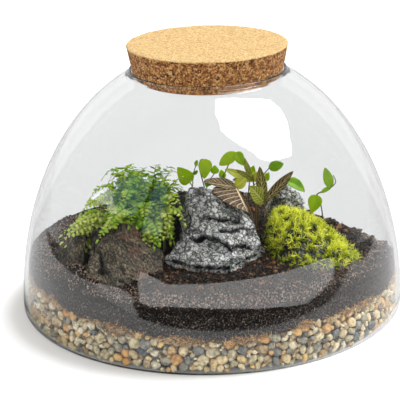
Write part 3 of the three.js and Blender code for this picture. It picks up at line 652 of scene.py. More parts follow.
def potting_soil():
    draw = random.Random(13)
    parts = 80
    side = 14
    # These heights only mark the top, the side and the underside, which are placed below
    profile = [(k / parts * SOIL_RADIUS, 100) for k in range(parts)]
    profile += [(SOIL_RADIUS, 60 - k) for k in range(side + 1)]
    profile += [(142, 10), (90, 10), (40, 10), (0, 10)]
    body = turned(profile, 288)
    for corner in body.verts:
        x, y, z = corner.co
        r = math.hypot(x, y)
        turn = math.atan2(x, -y)
        wall = polar(turn, SOIL_RADIUS, 0)
        low = gravel_top(turn) + SOIL_FOOT - 2.5 * (1 - fringe(turn))
        if z > 90:
            corner.co.z = soil_surface(x, y)
            continue
        if z < 20:
            corner.co.z = gravel_top(turn, min(1, r / 141)) + SOIL_FOOT
            continue
        down = (60 - z) / side
        level = soil_surface(wall.x, wall.y) * (1 - down) + low * down
        rough = abs(noise.noise(Vector((wall.x * 0.35, wall.y * 0.35, level * 0.35)))) * 1.6
        rough += 1.2 * fringe(turn) * max(0, 1 - (level - low) / 5)
        corner.co = polar(turn, inner_radius(level) - GAP - rough, level)
    soil = Piece()
    made = shape(body)
    soil.put(made, tone=0.34, along=[0.0] * len(made.vertices))
    for k, corner in enumerate(made.vertices):
        x, y, z = corner.co
        if math.hypot(x, y) > 142.9 and z < soil_height(x, y) - 1:
            soil.tones[k] = 0.32
            soil.alongs[k] = 0.35
    crumbs = crumb_shapes(draw, 10)
    # Crumbs on top, crumbs at the glass, small bits and short fibres
    for _ in range(3600):
        turn = draw.uniform(0, math.tau)
        r = 141.5 * math.sqrt(draw.random())
        x, y, _ = polar(turn, r, 0)
        rough = 1.0 + (0.9 if x > 70 and y > -40 else 0.0)
        rough *= 0.55 if r > 112 and y < -30 else 1.0
        size = draw.triangular(0.7, 2.6, 0.9) * rough
        spin = tumbled(draw)
        r = min(r, SOIL_RADIUS - 1.2 * size)
        x, y, _ = polar(turn, r, 0)
        centre = (x, y, soil_surface(x, y) + 0.15 * size)
        soil.put(draw.choice(crumbs), posed(centre, spin, size),
                 draw.triangular(0.05, 1.0, 0.33) * (0.6 if r > 112 else 1.0))
    for _ in range(1300):
        turn = draw.uniform(0, math.tau)
        wall = polar(turn, SOIL_RADIUS, 0)
        low = gravel_top(turn) + 3.4 - 2.5 * (1 - fringe(turn))
        level = draw.uniform(low, soil_height(wall.x, wall.y) - 0.5)
        size = draw.triangular(0.5, 1.9, 0.8)
        spin = tumbled(draw)
        centre = polar(turn, inner_radius(level) - 0.4 - 1.15 * size, level)
        soil.put(draw.choice(crumbs), posed(centre, spin, size), draw.triangular(0.05, 0.8, 0.25))
    bits = []
    for _ in range(5):
        bm = bmesh.new()
        bmesh.ops.create_cone(bm, cap_ends=True, segments=3, radius1=1, radius2=0, depth=1.6)
        for corner in bm.verts:
            corner.co *= draw.uniform(0.6, 1.2)
        bits.append(shape(bm))
    for _ in range(5800):
        turn = draw.uniform(0, math.tau)
        r = draw.triangular(106, 143.6, 130)
        x, y, _ = polar(turn, r, 0)
        size = draw.triangular(0.35, 1.15, 0.5)
        spin = tumbled(draw)
        centre = (x, y, soil_surface(x, y) + 0.5 * size)
        soil.put(draw.choice(bits), posed(centre, spin, size), 0.7,
                 along=[draw.triangular(0.5, 3.2, 2.6)] * 4)
    strands = strand_shapes(draw, 6)
    for _ in range(520):
        turn = draw.uniform(0, math.tau)
        length = draw.uniform(3, 8)
        r = (140 - length / 2) * math.sqrt(draw.random())
        x, y, _ = polar(turn, r, 0)
        spin = spun(draw)
        centre = (x, y, soil_surface(x, y) + 0.6)
        soil.put(draw.choice(strands), posed(centre, spin, length), draw.uniform(0.8, 1.3))
    soil.finish("soil_of_peat", ["potting_soil"], "potting_soil", [potting_soil_finish()])


# Stones: split rock, remeshed from the blocks of the part's source and broken up.

STONES = {
    "rock_central": [[
        (-11, -20, 101), (-18, -22, 96), (-15, -5, 92), (7, -21, 91), (19, -8, 86), (33, -25, 70),
        (29, -7, 67), (-20, -50, 67), (16, -61, 62), (39, -34, 56), (-24, -24, 72), (-29, -6, 42),
        (36, -5, 42), (6, -50, 72), (24, -44, 66)], [
        (-22, -46, 67), (14, -55, 63), (37, -32, 57), (-35, -51, 56), (-12, -69, 55),
        (16, -74, 55), (41, -34, 52), (-38, -50, 42), (-14, -71, 42), (18, -76, 42),
        (43, -30, 42), (36, -16, 42), (-31, -22, 42)]],
    "rock_rear_left": [[
        (-26, 1, 88), (-16, -1, 90), (-13, 13, 85), (-25, 13, 82), (-35, -20, 69), (-27, -25, 70),
        (-38, -20, 43), (-24, -28, 43), (-8, 20, 43), (-32, 18, 43), (-9, 4, 60)]],
    "rock_rear_right": [[
        (62, 24, 85), (50, 26, 82), (70, 26, 80), (72, 42, 72), (52, 44, 70), (77, 24, 64),
        (44, 22, 66), (80, 28, 43), (82, 48, 43), (40, 24, 43), (44, 48, 43), (62, 14, 43),
        (60, 17, 74)]],
    "slate_main": [[
        (-88, -57, 79), (-67, -51, 83), (-60, -47, 80), (-36, -46, 57), (-93, -94, 47),
        (-72, -99, 46), (-36, -62, 47), (-90, -40, 72), (-66, -38, 76), (-92, -92, 41),
        (-72, -98, 40), (-35, -60, 40), (-90, -36, 41), (-34, -36, 41)]],
    "slate_small": [[
        (-93, -52, 75), (-106, -44, 71), (-117, -42, 58), (-96, -76, 50), (-109, -68, 49),
        (-95, -38, 66), (-112, -34, 60), (-96, -75, 41), (-110, -66, 41), (-95, -36, 41),
        (-116, -36, 41)]],
}


def wander(point, amount):
    """The smooth roughness that the part's source gives its stones."""
    x, y, z = point
    return point + 0.5 * amount * Vector((
        math.sin(0.31 * y + 0.17 * z + 1) + math.sin(0.53 * z - 0.4 * y),
        math.sin(0.29 * z + 0.23 * x + 2) + math.sin(0.47 * x + 0.37 * z),
        math.sin(0.33 * x - 0.27 * y + 3) + math.sin(0.41 * y + 0.59 * x)))


def stone_mesh(blocks, detail, amount):
    """The blocks as one finely divided closed body."""
    bm = bmesh.new()
    for corners in blocks:
        made = [bm.verts.new(corner) for corner in corners]
        hull = bmesh.ops.convex_hull(bm, input=made)
        bmesh.ops.delete(bm, geom=[g for g in hull["geom_interior"] if g.is_valid], context="VERTS")
    rough = shape(bm)
    carrier = bpy.data.objects.new("stone", rough)
    bpy.context.collection.objects.link(carrier)
    remesh = carrier.modifiers.new("remesh", "REMESH")
    remesh.mode = "VOXEL"
    remesh.voxel_size = detail
    solid = carrier.evaluated_get(bpy.context.evaluated_depsgraph_get())
    fine = bpy.data.meshes.new_from_object(solid)
    bpy.data.objects.remove(carrier)
    bm = bmesh.new()
    bm.from_mesh(fine)
    for corner in bm.verts:
        corner.co = wander(corner.co, amount)
    bmesh.ops.smooth_vert(bm, verts=bm.verts[:], factor=0.5, use_axis_x=True, use_axis_y=True,
                          use_axis_z=True)
    bm.normal_update()
    return bm


def wet_rock(name, tones, shine, lift):
    """Hard grey rock, wet, with a sharp gloss. Its colour holds a fine net of dark wrinkles, painted
    shade in the wrinkles, on pale flakes that are partly the rock's own pale grey and partly
    painted highlight, and nearly black cracks of painted shade. tone is 0 in the open and 1 in
    the depth of a crack."""
    made, add, shader = material(name, shine, Specular_IOR_Level=0.6)
    place, tone = readings(add)
    bend = add("TexNoise", Vector=place, Scale=per(4), Detail=5.0, Roughness=0.65)
    bent = add("MixRGB", 0.007, place, bend.outputs["Color"], blend_type="ADD")
    cloud = add("TexNoise", Vector=place, Scale=per(14), Detail=5.0)
    flakes = add("TexNoise", Vector=bent, Scale=per(2.6), Detail=6.0, Roughness=0.75,
                 Distortion=1.6)
    chips = add("TexVoronoi", Vector=bent, Scale=per(2.8))
    chance = add("SeparateColor", chips.outputs["Color"])
    speckle = add("Mix", Factor=0.12, A=flakes, B=chance)
    mixed = add("MixRGB", 0.6, cloud, speckle)
    colour = add("ValToRGB", mixed, stops=tones)
    edges = add("TexVoronoi", Vector=bent, Scale=per(4.6), feature="DISTANCE_TO_EDGE")
    lines = add("ValToRGB", edges, stops=[(0.03, "#4c4c4c"), (0.11, "#ffffff")])
    folds = add("TexNoise", Vector=place, Scale=per(3.7), Detail=5.0, Roughness=0.62,
                Distortion=1.0)
    level = add("Math", add("Math", folds, 0.5, operation="SUBTRACT"), operation="ABSOLUTE")
    # The dark net of wrinkles is painted shade in the wrinkles, which the bump also raises.
    wrinkles = add("ValToRGB", level, stops=[(0.014, "#040404"), (0.034, "#ffffff")])
    wrinkle_shade_net = add("MixRGB", 0.9, lines, wrinkles, blend_type="MULTIPLY")
    net_shaded = add("MixRGB", 0.94, colour, wrinkle_shade_net, blend_type="MULTIPLY")
    # Cracks and chip edges, by tone, are painted nearly black: painted shade.
    crack_shaded = add("MixRGB", tone, net_shaded, "#070707")
    relief = add("Bump", Height=speckle, Strength=1.0, Distance=lift)
    finer = add("Bump", Height=wrinkle_shade_net, Strength=1.0, Distance=0.0006, Normal=relief)
    connect(shader, Base_Color=crack_shaded, Normal=finer)
    return made


def split_slate():
    """Slate, split by hand: dull brown beds in long thin lines, rusty and a little dusty."""
    made, add, shader = material("split_brown_slate", 0.75)
    place, tone = readings(add)
    drawn = add("Mapping", Vector=place, Rotation=(0.55, 0.25, -0.35), Scale=(1, 1, 0.07))
    grain = add("TexNoise", Vector=drawn, Scale=per(1.3), Detail=4.0, Roughness=0.6)
    cloud = add("TexNoise", Vector=place, Scale=per(12), Detail=5.0)
    mixed = add("MixRGB", 0.68, cloud, grain)
    colour = add("ValToRGB", mixed, stops=[
        (0.42, "#0c0a07"), (0.48, "#2a241b"), (0.54, "#574c3a"), (0.66, "#9c8d70")])
    rust = add("TexNoise", Vector=place, Scale=per(22), Detail=3.0)
    where = add("ValToRGB", rust, stops=[(0.58, "#000000"), (0.7, "#bbbbbb")])
    both = add("MixRGB", where, colour, "#6d3420")
    dust = add("TexNoise", Vector=place, Scale=per(1.4), Detail=3.0, Roughness=0.7)
    spots = add("ValToRGB", dust, stops=[(0.62, "#000000"), (0.72, "#cccccc")])
    dusty = add("MixRGB", spots, both, "#a08a68")
    # Cracks, by tone, are painted nearly black: painted shade.
    crack_shaded = add("MixRGB", tone, dusty, "#060505")
    relief = add("Bump", Height=grain, Strength=1.0, Distance=0.0012)
    connect(shader, Base_Color=crack_shaded, Normal=relief)
    return made


# Cracks that run over the stones, as points on their faces; the stones sink along them and are
# painted nearly black there as shade
CRACKS = {
    "rock_central": [
        [(-22, -46, 67.5), (-17.5, -48.5, 68.2), (-10.7, -51.5, 67.2), (-5.4, -50.6, 69.5),
         (0.6, -51.7, 69.8), (5.1, -54.6, 67.6), (10.3, -57.9, 65.1), (15.4, -61.7, 62)],
        [(16.3, -57.9, 63.7), (22.5, -51.2, 62.2), (29.4, -45.1, 58.6), (37, -39, 55)],
        [(-1.4, -41.4, 79.8), (4, -39.6, 81.4), (8.9, -39.3, 78.8), (14.7, -34.3, 77.7),
         (21.6, -31.2, 74.8)],
        [(-27.7, -57.8, 52.6), (-20.1, -63.2, 52.1), (-8.8, -69.7, 52), (2.4, -72.2, 51.9),
         (12.8, -73.5, 53), (18.9, -70.5, 53.5), (23.6, -62.3, 54), (34.7, -46, 52.3)],
        [(-17.8, -24.2, 93.5), (-18.8, -29.2, 85.5), (-18.1, -37.9, 78.9), (-17.5, -45.2, 71.8)],
        [(8.4, -46.7, 75), (15.9, -44.2, 71.5), (24.5, -36.2, 70), (31.4, -33.4, 65.5)]],
    "slate_main": [
        [(-86.5, -59.2, 77.8), (-87.1, -63.6, 73.8), (-87.3, -69.9, 68.2)],
        [(-81.7, -72.5, 66.7), (-81.5, -78.4, 61.9), (-81, -84.4, 57.1)]],
}


CHIP_SEED = Vector((3.37, 3.91, 2.15))  # another seed splits the stones another way


def crack_finder(name):
    """Nearest crack for any place on a stone."""
    points = []
    for line in CRACKS.get(name, []):
        for a, b in zip(line, line[1:]):
            points += [Vector(a).lerp(Vector(b), k / 8) for k in range(8)]
    tree = kdtree.KDTree(max(1, len(points)))
    for k, point in enumerate(points):
        tree.insert(point, k)
    tree.balance()
    return tree if points else None


def chipped(at, size, slope):
    """Flat chips: how far each place stands out, and how near the edge of its chip it is."""
    away, points = noise.voronoi(at / size)
    seed = points[0] * 7.3 + CHIP_SEED
    tilt = Vector([noise.noise(seed + Vector((17.3 * k, 5.1 * k, 9.7 * k))) for k in range(3)])
    return (at - points[0] * size).dot(tilt) * slope * 2.5, away[1] - away[0]


def stones():
    # The pale top stops of the grey rock, up to white, are partly its own pale grey and partly
    # painted highlight.
    grey = wet_rock("wet_grey_rock", [
        (0.34, "#343533"), (0.41, "#a8aca2"), (0.48, "#eef0e6"), (0.53, "#ffffff")], 0.26, 0.0022)
    dark = wet_rock("dark_grey_rock", [
        (0.38, "#0a0908"), (0.47, "#2f2d29"), (0.55, "#6b685f"), (0.64, "#b8b6ac")], 0.45, 0.002)
    slate = split_slate()
    details = {  # voxel size and roughness in mm, finish and slot
        "rock_central": (1.0, 1.1, grey, "grey_rock"),
        "rock_rear_left": (1.2, 0.9, dark, "grey_rock"),
        "rock_rear_right": (1.2, 0.9, grey, "grey_rock"),
        "slate_main": (1.1, 0.8, slate, "slate"),
        "slate_small": (1.1, 0.7, slate, "slate"),
    }
    for name, (detail, amount, finish, slot) in details.items():
        bm = stone_mesh(STONES[name], detail, amount)
        split = slot == "slate"
        cracks = crack_finder(name)
        stone = Piece()
        for corner in bm.verts:
            at = corner.co
            if split:
                bed = at.dot(Vector((0.35, 0.45, 0.82)))
                depth = 0.9 * noise.noise(Vector((bed * 0.9, at.x * 0.04, at.y * 0.04)))
                depth += chipped(at, 26, 0.05)[0] + 0.25 * noise.noise(at * 0.5) - 0.3
                crease_shade = 0.0
            else:
                large, gap = chipped(at, 24, 0.13)
                small, _ = chipped(at, 7, 0.09)
                depth = large + small - 0.4 + 0.3 * noise.noise(at * 0.6)
                crease_shade = 0.6 * math.exp(-(gap / 0.03) ** 2)
            hollow = 0.0
            if cracks:
                nearest, _, away = cracks.find(
                    at + Vector((noise.noise(at * 0.3), 0, noise.noise(at * 0.4))))
                wide = 1.35 + 1.4 * noise.noise(at * 0.15)
                hollow = math.exp(-(away / wide) ** 2)
                under = clamp((nearest.z - at.z) / 1.5) * max(0, 1 - away / 9)
                depth -= 2.6 * under + 2.8 * hollow
            # tone paints the cracks and the edges between chips nearly black: painted shade in the
            # hollows and creases.
            stone.tones.append(min(1, max(1.5 * hollow, crease_shade)))
            stone.alongs.append(0.5)
            corner.co = at + corner.normal * max(-4.8, min(0.9, depth))
        stone.bm = bm
        stone.finish(name + "_split", [name], slot, [finish])


# Moss: a cushion of leafy shoots, vivid yellow green at the tips. The nearly black inside is
# painted shade, the darker foot of each shoot is partly its own colour and partly painted shade,
# and shoots on the right and on top are painted lighter as lit.

MOSS_PEAK = Vector((52, -9, 75))
MOSS_EDGE = [(43, -12, 50), (45, -34, 49), (52, -54, 48), (72, -68, 48), (96, -67, 48),
             (112, -50, 48), (108, -22, 48), (98, 8, 48), (86, 24, 49), (68, 20, 54),
             (53, 11, 55)]


def between(a, b, c, d, t):
    """A point on the smooth line from b to c, whose neighbours are a and d."""
    return 0.5 * (2 * b + (c - a) * t + (2 * a - 5 * b + 4 * c - d) * t ** 2
                  + (3 * b - a - 3 * c + d) * t ** 3)


def closed_line(points, turn):
    """A point on the smooth closed line through the points; turn runs from 0 to 1."""
    count = len(points)
    place = (turn % 1) * count
    k = int(place)
    return between(*(Vector(points[(k + n) % count]) for n in (-1, 0, 1, 2)), place - k)


def moss_place(turn, part):
    rim = closed_line(MOSS_EDGE, turn)
    point = MOSS_PEAK.lerp(rim, part)
    point.z = MOSS_PEAK.z + (rim.z - MOSS_PEAK.z) * part ** 2
    out = ((rim - MOSS_PEAK) * Vector((1, 1, 0))).normalized() * 0.55 * part + UP
    return point, out.normalized()


def moss_finish(name, stops):
    made, add, shader = material(name, 0.6)
    tone = add("Attribute", attribute_name="tone").outputs["Fac"]
    along = add("Attribute", attribute_name="along").outputs["Fac"]
    mixed = add("MixRGB", 0.36, along, tone)
    colour = add("ValToRGB", mixed, stops=stops)
    connect(shader, Base_Color=colour)
    return made


def moss_shoot(draw):
    """A shoot one unit tall: a stem with narrow leaves, and how far up each corner is, which
    makes its foot darker, partly as painted shade.
    """
    bm = bmesh.new()
    bmesh.ops.create_cone(bm, cap_ends=True, segments=3, radius1=0.07, radius2=0, depth=1,
                          matrix=Matrix.Translation((0, 0, 0.45)))
    leaves = 9
    for k in range(leaves):
        height = 0.25 + 0.5 * k / leaves
        turn = 2.4 * k + draw.uniform(-0.4, 0.4)
        lean = 1.15 - 0.5 * k / leaves + draw.uniform(-0.3, 0.3)
        length = draw.uniform(0.36, 0.62)
        place = Matrix.Translation((0, 0, height)) @ Matrix.Rotation(turn, 4, "Z")
        place = place @ Matrix.Rotation(lean, 4, "Y") @ Matrix.Diagonal((0.6, 1, 1, 1))
        place = place @ Matrix.Translation((0, 0, length / 2))
        bmesh.ops.create_cone(bm, cap_ends=True, segments=3, radius1=0.068, radius2=0.008,
                              depth=length, matrix=place)
    made = shape(bm)
    return made, [clamp(v.co.z * 0.9 + 0.25 * math.hypot(v.co.x, v.co.y))
                  for v in made.vertices]


def moss_cushion():
    draw = random.Random(21)
    # Height 1 marks the top and 0 the underside, and every corner is placed below
    rings = 26
    mound = turned([(0, 0)] + [(k / rings, 1) for k in range(1, rings + 1)]
                   + [(0.99, 0), (0.5, 0), (0, 0.001)], 150)
    moss = Piece()
    for corner in mound.verts:
        x, y, z = corner.co
        part = math.hypot(x, y)
        point, out = moss_place(math.atan2(x, -y) / math.tau, min(1, part))
        if z < 0.5 and part > 0.001:
            point.z = 44
        elif z >= 0.5 or part <= 0.001:
            point += out * (1.2 * noise.noise(point * 0.25) + 0.8 * noise.noise(point * 0.8)
                            - 6.5 * min(1, 4 - 4 * part))
        corner.co = point
    moss.put(shape(mound), tone=0.3, slot=1)
    shoots = [moss_shoot(draw) for _ in range(7)]
    for _ in range(1500):
        turn = draw.random()
        part = math.sqrt(draw.random())
        point, out = moss_place(turn, min(part, 1))
        loose = 0.3 if point.y < -35 and point.x < 86 else 0.0
        gap = noise.noise(point * 0.2) < -0.02 - 0.1 * (point.x - 60) / 40
        if draw.random() < loose or (gap and draw.random() < 0.8):
            continue
        lean = Vector((draw.gauss(0, 0.9), draw.gauss(0, 0.9), draw.gauss(0, 0.3)))
        out = (out + lean * (1 + loose)).normalized()
        height = draw.triangular(7, 13, 9)
        spin = out.to_track_quat("Z", "X") @ spun(draw).to_quaternion()
        # Shoots further right and higher up get a lighter tone: painted light, as from the lamp high
        # on the right.
        lit_side_tone = 0.4 + 0.35 * (point.x - 45) / 70 + 0.3 * (point.z - 48) / 27
        wide = height * draw.uniform(0.65, 1.0)
        chosen, up = draw.choice(shoots)
        moss.put(chosen, Matrix.LocRotScale(point - out * (height - 2), spin, (wide, wide, height)),
                 clamp(lit_side_tone + draw.gauss(0, 0.24)), along=up)
    tips = moss_finish("cushion_moss_shoots", [
        (0.34, "#0f1402"), (0.48, "#566405"), (0.6, "#aab60a"), (0.74, "#dce01c"),
        (0.92, "#fbf97a")])
    # The mound under the shoots is nearly black: painted shade between the shoots.
    inside = moss_finish("moss_inside_painted_shade", [(0.2, "#0e0d05"), (0.8, "#23270a")])
    moss.finish("cushion_of_moss", ["moss_cushion"], "moss", [tips, inside], smooth=False)


# Ferns: arched fronds with small toothed leaflets in pairs.

FRONDS = [  # foot, tip, rise and arch in mm, and tone
    ((-64, -7), (-92, -19, 92), 52, 15, 0.5), ((-66, -14), (-98, -37, 86), 42, 15, 0.55),
    ((-62, -22), (-111, -57, 76), 34, 15, 0.85), ((-55, -23), (-77, -66, 84), 40, 14, 0.6),
    ((-62, 1), (-84, 8, 99), 58, 14, 0.42), ((-55, 5), (-66, 26, 101), 54, 10, 0.45),
    ((-52, -5), (-55, -32, 107), 62, 14, 0.42), ((-49, -17), (-50, -52, 84), 44, 16, 0.5),
    ((-46, 2), (-40, 18, 104), 52, 8, 0.4), ((-41, -12), (-23, -34, 89), 46, 12, 0.68),
    ((-48, -25), (-39, -54, 67), 32, 22, 0.6), ((-40, -5), (-25, 2, 103), 52, 8, 0.5),
    ((-36.5, -30), (-20, -42, 78), 40, 16, 0.75), ((-55, -13), (-65, -44, 94), 50, 15, 0.45),
    ((-57, 14), (-78, 33, 95), 54, 12, 0.42),
]


BUSH = Vector((-55, -4, 62))  # middle of the bush, from which the leaflets face away


def leaf_green(name, stops, glow, shine=0.45, scale=4.0):
    """Living leaf: a soft waxy skin that lets some light through."""
    made, add, shader = material(name, shine, Specular_IOR_Level=0.4)
    place, tone = readings(add)
    cloud = add("TexNoise", Vector=place, Scale=per(scale), Detail=4.0)
    mixed = add("MixRGB", 0.3, tone, cloud)
    colour = add("ValToRGB", mixed, stops=stops)
    relief = add("Bump", Height=cloud, Strength=0.3, Distance=0.0003)
    light = add("BsdfTranslucent", Color=colour)
    connect(shader, Base_Color=colour, Normal=relief)
    both = add("MixShader", glow, shader, light)
    connect(made.node_tree.nodes["Material Output"], Surface=both)
    return made


def lens(outline, crown):
    """Thin closed leaflet in its outline: a shallow crown over a fanned underside."""
    bm = bmesh.new()
    bmesh.ops.create_cone(bm, cap_ends=True, cap_tris=True, segments=len(outline), radius1=1,
                          radius2=0, depth=1)
    ring = [v for v in bm.verts if math.hypot(v.co.x, v.co.y) > 0.5]
    ring.sort(key=lambda v: math.atan2(v.co.y, v.co.x))
    middle = sum(x for x, y in outline) / len(outline)
    placed = sorted(outline, key=lambda p: math.atan2(p[1], p[0] - middle))
    for corner in bm.verts:
        if corner not in ring:
            corner.co = (middle, 0, crown if corner.co.z > 0 else -0.02)
    for corner, (x, y) in zip(ring, placed):
        corner.co = (x, y, -0.35 * crown * (2 * y) ** 2)
    return shape(bm)


def fan_leaflets(draw):
    """Leaflets one unit long: narrow at the stalk, widening to a fan with blunt teeth."""
    half = [(0.02, 0.06), (0.12, 0.24), (0.26, 0.36), (0.36, 0.2), (0.52, 0.34), (0.62, 0.18),
            (0.8, 0.24), (1.0, 0.04)]
    shapes = []
    for _ in range(6):
        upper = [(x * draw.uniform(0.93, 1.07), y * draw.uniform(0.85, 1.15)) for x, y in half]
        lower = [(x * draw.uniform(0.93, 1.07), -y * draw.uniform(0.85, 1.15)) for x, y in half]
        shapes.append(lens(upper + lower, 0.09))
    return shapes


def frond_path(base, tip, rise, arch):
    """Points along the arched rib, with the direction at each."""
    foot = Vector((base[0], base[1], soil_height(*base) + 1))
    end = Vector(tip)
    ahead = (end - foot) * Vector((1, 1, 0))
    climb = foot + UP * rise
    bend = end - 0.35 * ahead + UP * arch
    points = []
    for k in range(41):
        t = k / 40
        points.append(foot * (1 - t) ** 3 + climb * 3 * t * (1 - t) ** 2
                      + bend * 3 * t * t * (1 - t) + end * t ** 3)
    return points, ahead.normalized()


def at_length(points, share):
    """The point and the direction at a share of the line's length."""
    steps = [(b - a).length for a, b in zip(points, points[1:])]
    left = share * sum(steps)
    for a, b, step in zip(points, points[1:], steps):
        if left <= step or b is points[-1]:
            return a.lerp(b, left / step), (b - a).normalized()
        left -= step


def grow_frond(piece, draw, leaflets, points, along, width, spacing, tone, paths):
    """Leaflets in pairs along the rib; width and spacing are in millimetres."""
    start = 0.22  # the share of the rib below the first leaflets
    side = along.cross(UP)
    length = sum((b - a).length for a, b in zip(points, points[1:]))
    count = max(4, int(length * (1 - start) / spacing))
    paths.append([(p, 0.42 * (1 - 0.75 * k / len(points))) for k, p in enumerate(points)])
    for i in range(count * 2):
        hand = 1 if i % 2 else -1
        share = start + (1 - start) * (i + 0.5) / (count * 2)
        grow = (share - start) / (1 - start)
        place, ahead = at_length(points, share)
        normal = side.cross(ahead)
        size = width * min(1, 0.5 + 2.4 * grow) * (1 - grow ** 3) ** 0.7 * draw.uniform(0.85, 1.12)
        if size < 1:
            continue
        droop = draw.uniform(-0.25, 0.5)
        reach = (side * hand + ahead * draw.uniform(0.15, 0.5) - normal * droop).normalized()
        outward = (place - BUSH).normalized()
        normal = (normal + 0.9 * outward).normalized()
        top = (normal - reach * normal.dot(reach)).normalized()
        across = top.cross(reach)
        pose = Matrix((reach, across, top)).transposed().to_4x4()
        pose = pose @ Matrix.Rotation(draw.uniform(-0.5, 0.5), 4, "X")
        piece.put(draw.choice(leaflets), Matrix.Translation(place) @ pose @ Matrix.Scale(size, 4),
                  clamp(tone + draw.gauss(0, 0.16) + 0.2 * grow))
    place, ahead = at_length(points, 0.995)
    normal = side.cross(ahead)
    pose = Matrix((ahead, normal.cross(ahead), normal)).transposed().to_4x4()
    piece.put(leaflets[0], Matrix.Translation(place) @ pose @ Matrix.Scale(width * 0.5, 4), tone)


def ferns():
    green = leaf_green("fern_leaflet", [
        (0.15, "#39691a"), (0.33, "#78ba30"), (0.5, "#b0e246"), (0.7, "#dff45c"),
        (0.92, "#f8faa8")], glow=0.42)
    rib = leaf_green("fern_rib", [(0.2, "#5a5a28"), (0.8, "#a3a85a")], glow=0.0)
    draw = random.Random(34)
    leaflets = fan_leaflets(draw)
    for k, (base, tip, rise, arch, tone) in enumerate(FRONDS):
        piece = Piece()
        paths = []
        points, along = frond_path(base, tip, rise, arch)
        grow_frond(piece, draw, leaflets, points, along, 8.4, 3.4, tone, paths)
        foot = points[0]
        paths.append([(foot - UP * ROOTS, 0.5), (foot, 0.5), (points[2], 0.45)])
        for _ in range(7):
            right = 1 if k in (9, 10, 12) else 14  # these grow beside the central rock
            sway = Vector((draw.uniform(-14, right), draw.uniform(-14, 14), draw.uniform(-24, -2)))
            shorter = Vector(tip).lerp(foot + UP * rise, 0.2) + sway
            start = foot + Vector((draw.uniform(-1.5, 1.5), draw.uniform(-1.5, 1.5), -2))
            more, ahead = frond_path((start.x, start.y), shorter, rise * 0.8, arch)
            grow_frond(piece, draw, leaflets, more, ahead, 7.8, 3.6,
                       tone + draw.uniform(-0.15, 0.1), paths)
        piece.put(tube_mesh(paths, 0), slot=1)
        piece.finish(f"frond_{k + 1:02d}_leaflets", [f"fern_frond_{k + 1:02d}"], "fern_leaf",
                     [green, rib])


# Leaves with a surface: an outline by formula, folded along the midrib, curled and waved.


LEAF_THICK = 0.35


def outline_width(kind, u):
    if kind == "heart":
        return math.sin(math.pi * u ** 0.62) ** 0.75
    return math.sin(math.pi * u ** 0.85) ** 0.7


def leaf_mesh(base, tip, face, width, kind="oval", fold=(0.25, 0.25), curl=0.12, shown=1.0,
              wave=0.0, across=12, rows=16):
    """fold is the slope of each half, and shown is how much of the left half unrolls."""
    axis = (Vector(tip) - Vector(base)).normalized()
    start = Vector(base) - 0.5 * axis
    length = (Vector(tip) - start).length
    side = axis.cross(Vector(face)).normalized()
    normal = side.cross(axis)
    bm = bmesh.new()
    bmesh.ops.create_grid(bm, x_segments=across, y_segments=rows, size=1)
    layer = bm.loops.layers.uv.new("leaf")
    for corner_face in bm.faces:
        for loop in corner_face.loops:
            loop[layer].uv = ((loop.vert.co.x + 1) / 2, (loop.vert.co.y + 1) / 2)
    for corner in bm.verts:
        v = corner.co.x
        u = min(0.999, max(0.001, (corner.co.y + 1) / 2))
        slope = fold[0 if v > 0 else 1]
        half = 0.5 * width * outline_width(kind, u) * (1 if v > 0 else shown)
        out = half * v / math.hypot(1, slope)
        lift = slope * abs(out) - curl * length * u * u
        lift += wave * abs(v) * math.sin(2.5 * math.pi * u + (0 if v > 0 else 2))
        corner.co = start + axis * length * u + side * out + normal * lift
    bmesh.ops.remove_doubles(bm, verts=bm.verts[:], dist=0.02)
    bmesh.ops.recalc_face_normals(bm, faces=bm.faces[:])
    bmesh.ops.solidify(bm, geom=bm.faces[:], thickness=LEAF_THICK)
    return shape(bm)


def stem_paths(base, path, stalks, radius):
    level = soil_height(*base) + 1
    foot = [Vector((*base, level - ROOTS)), Vector((*base, level))]
    line = smooth_line(foot + [Vector(p) for p in path])
    paths = [[(p, radius * (1 - 0.35 * k / len(line))) for k, p in enumerate(line)]]
    for stalk in stalks:
        line = smooth_line([Vector(p) for p in stalk])
        paths.append([(p, radius * 0.6) for p in line])
    return paths


def smooth_line(points):
    """Catmull-Rom line through the points."""
    full = [2 * points[0] - points[1]] + points + [2 * points[-1] - points[-2]]
    line = []
    for k in range(len(full) - 3):
        line += [between(*full[k:k + 4], step / 6) for step in range(6)]
    return line + [points[-1]]


def leafy_stems(stems, start, replaced, slot, finishes, radius, wave):
    for k, (base, path, stalks, leaves) in enumerate(stems):
        piece = Piece()
        for foot, tip, face, width, more, tone in leaves:
            piece.put(leaf_mesh(foot, tip, face, width, wave=wave, **more), tone=tone)
        piece.put(tube_mesh(stem_paths(base, path, stalks, radius)), slot=1)
        piece.finish(f"{start}_{k + 1:02d}_leaves", [f"{replaced}_{k + 1:02d}"], slot, finishes)


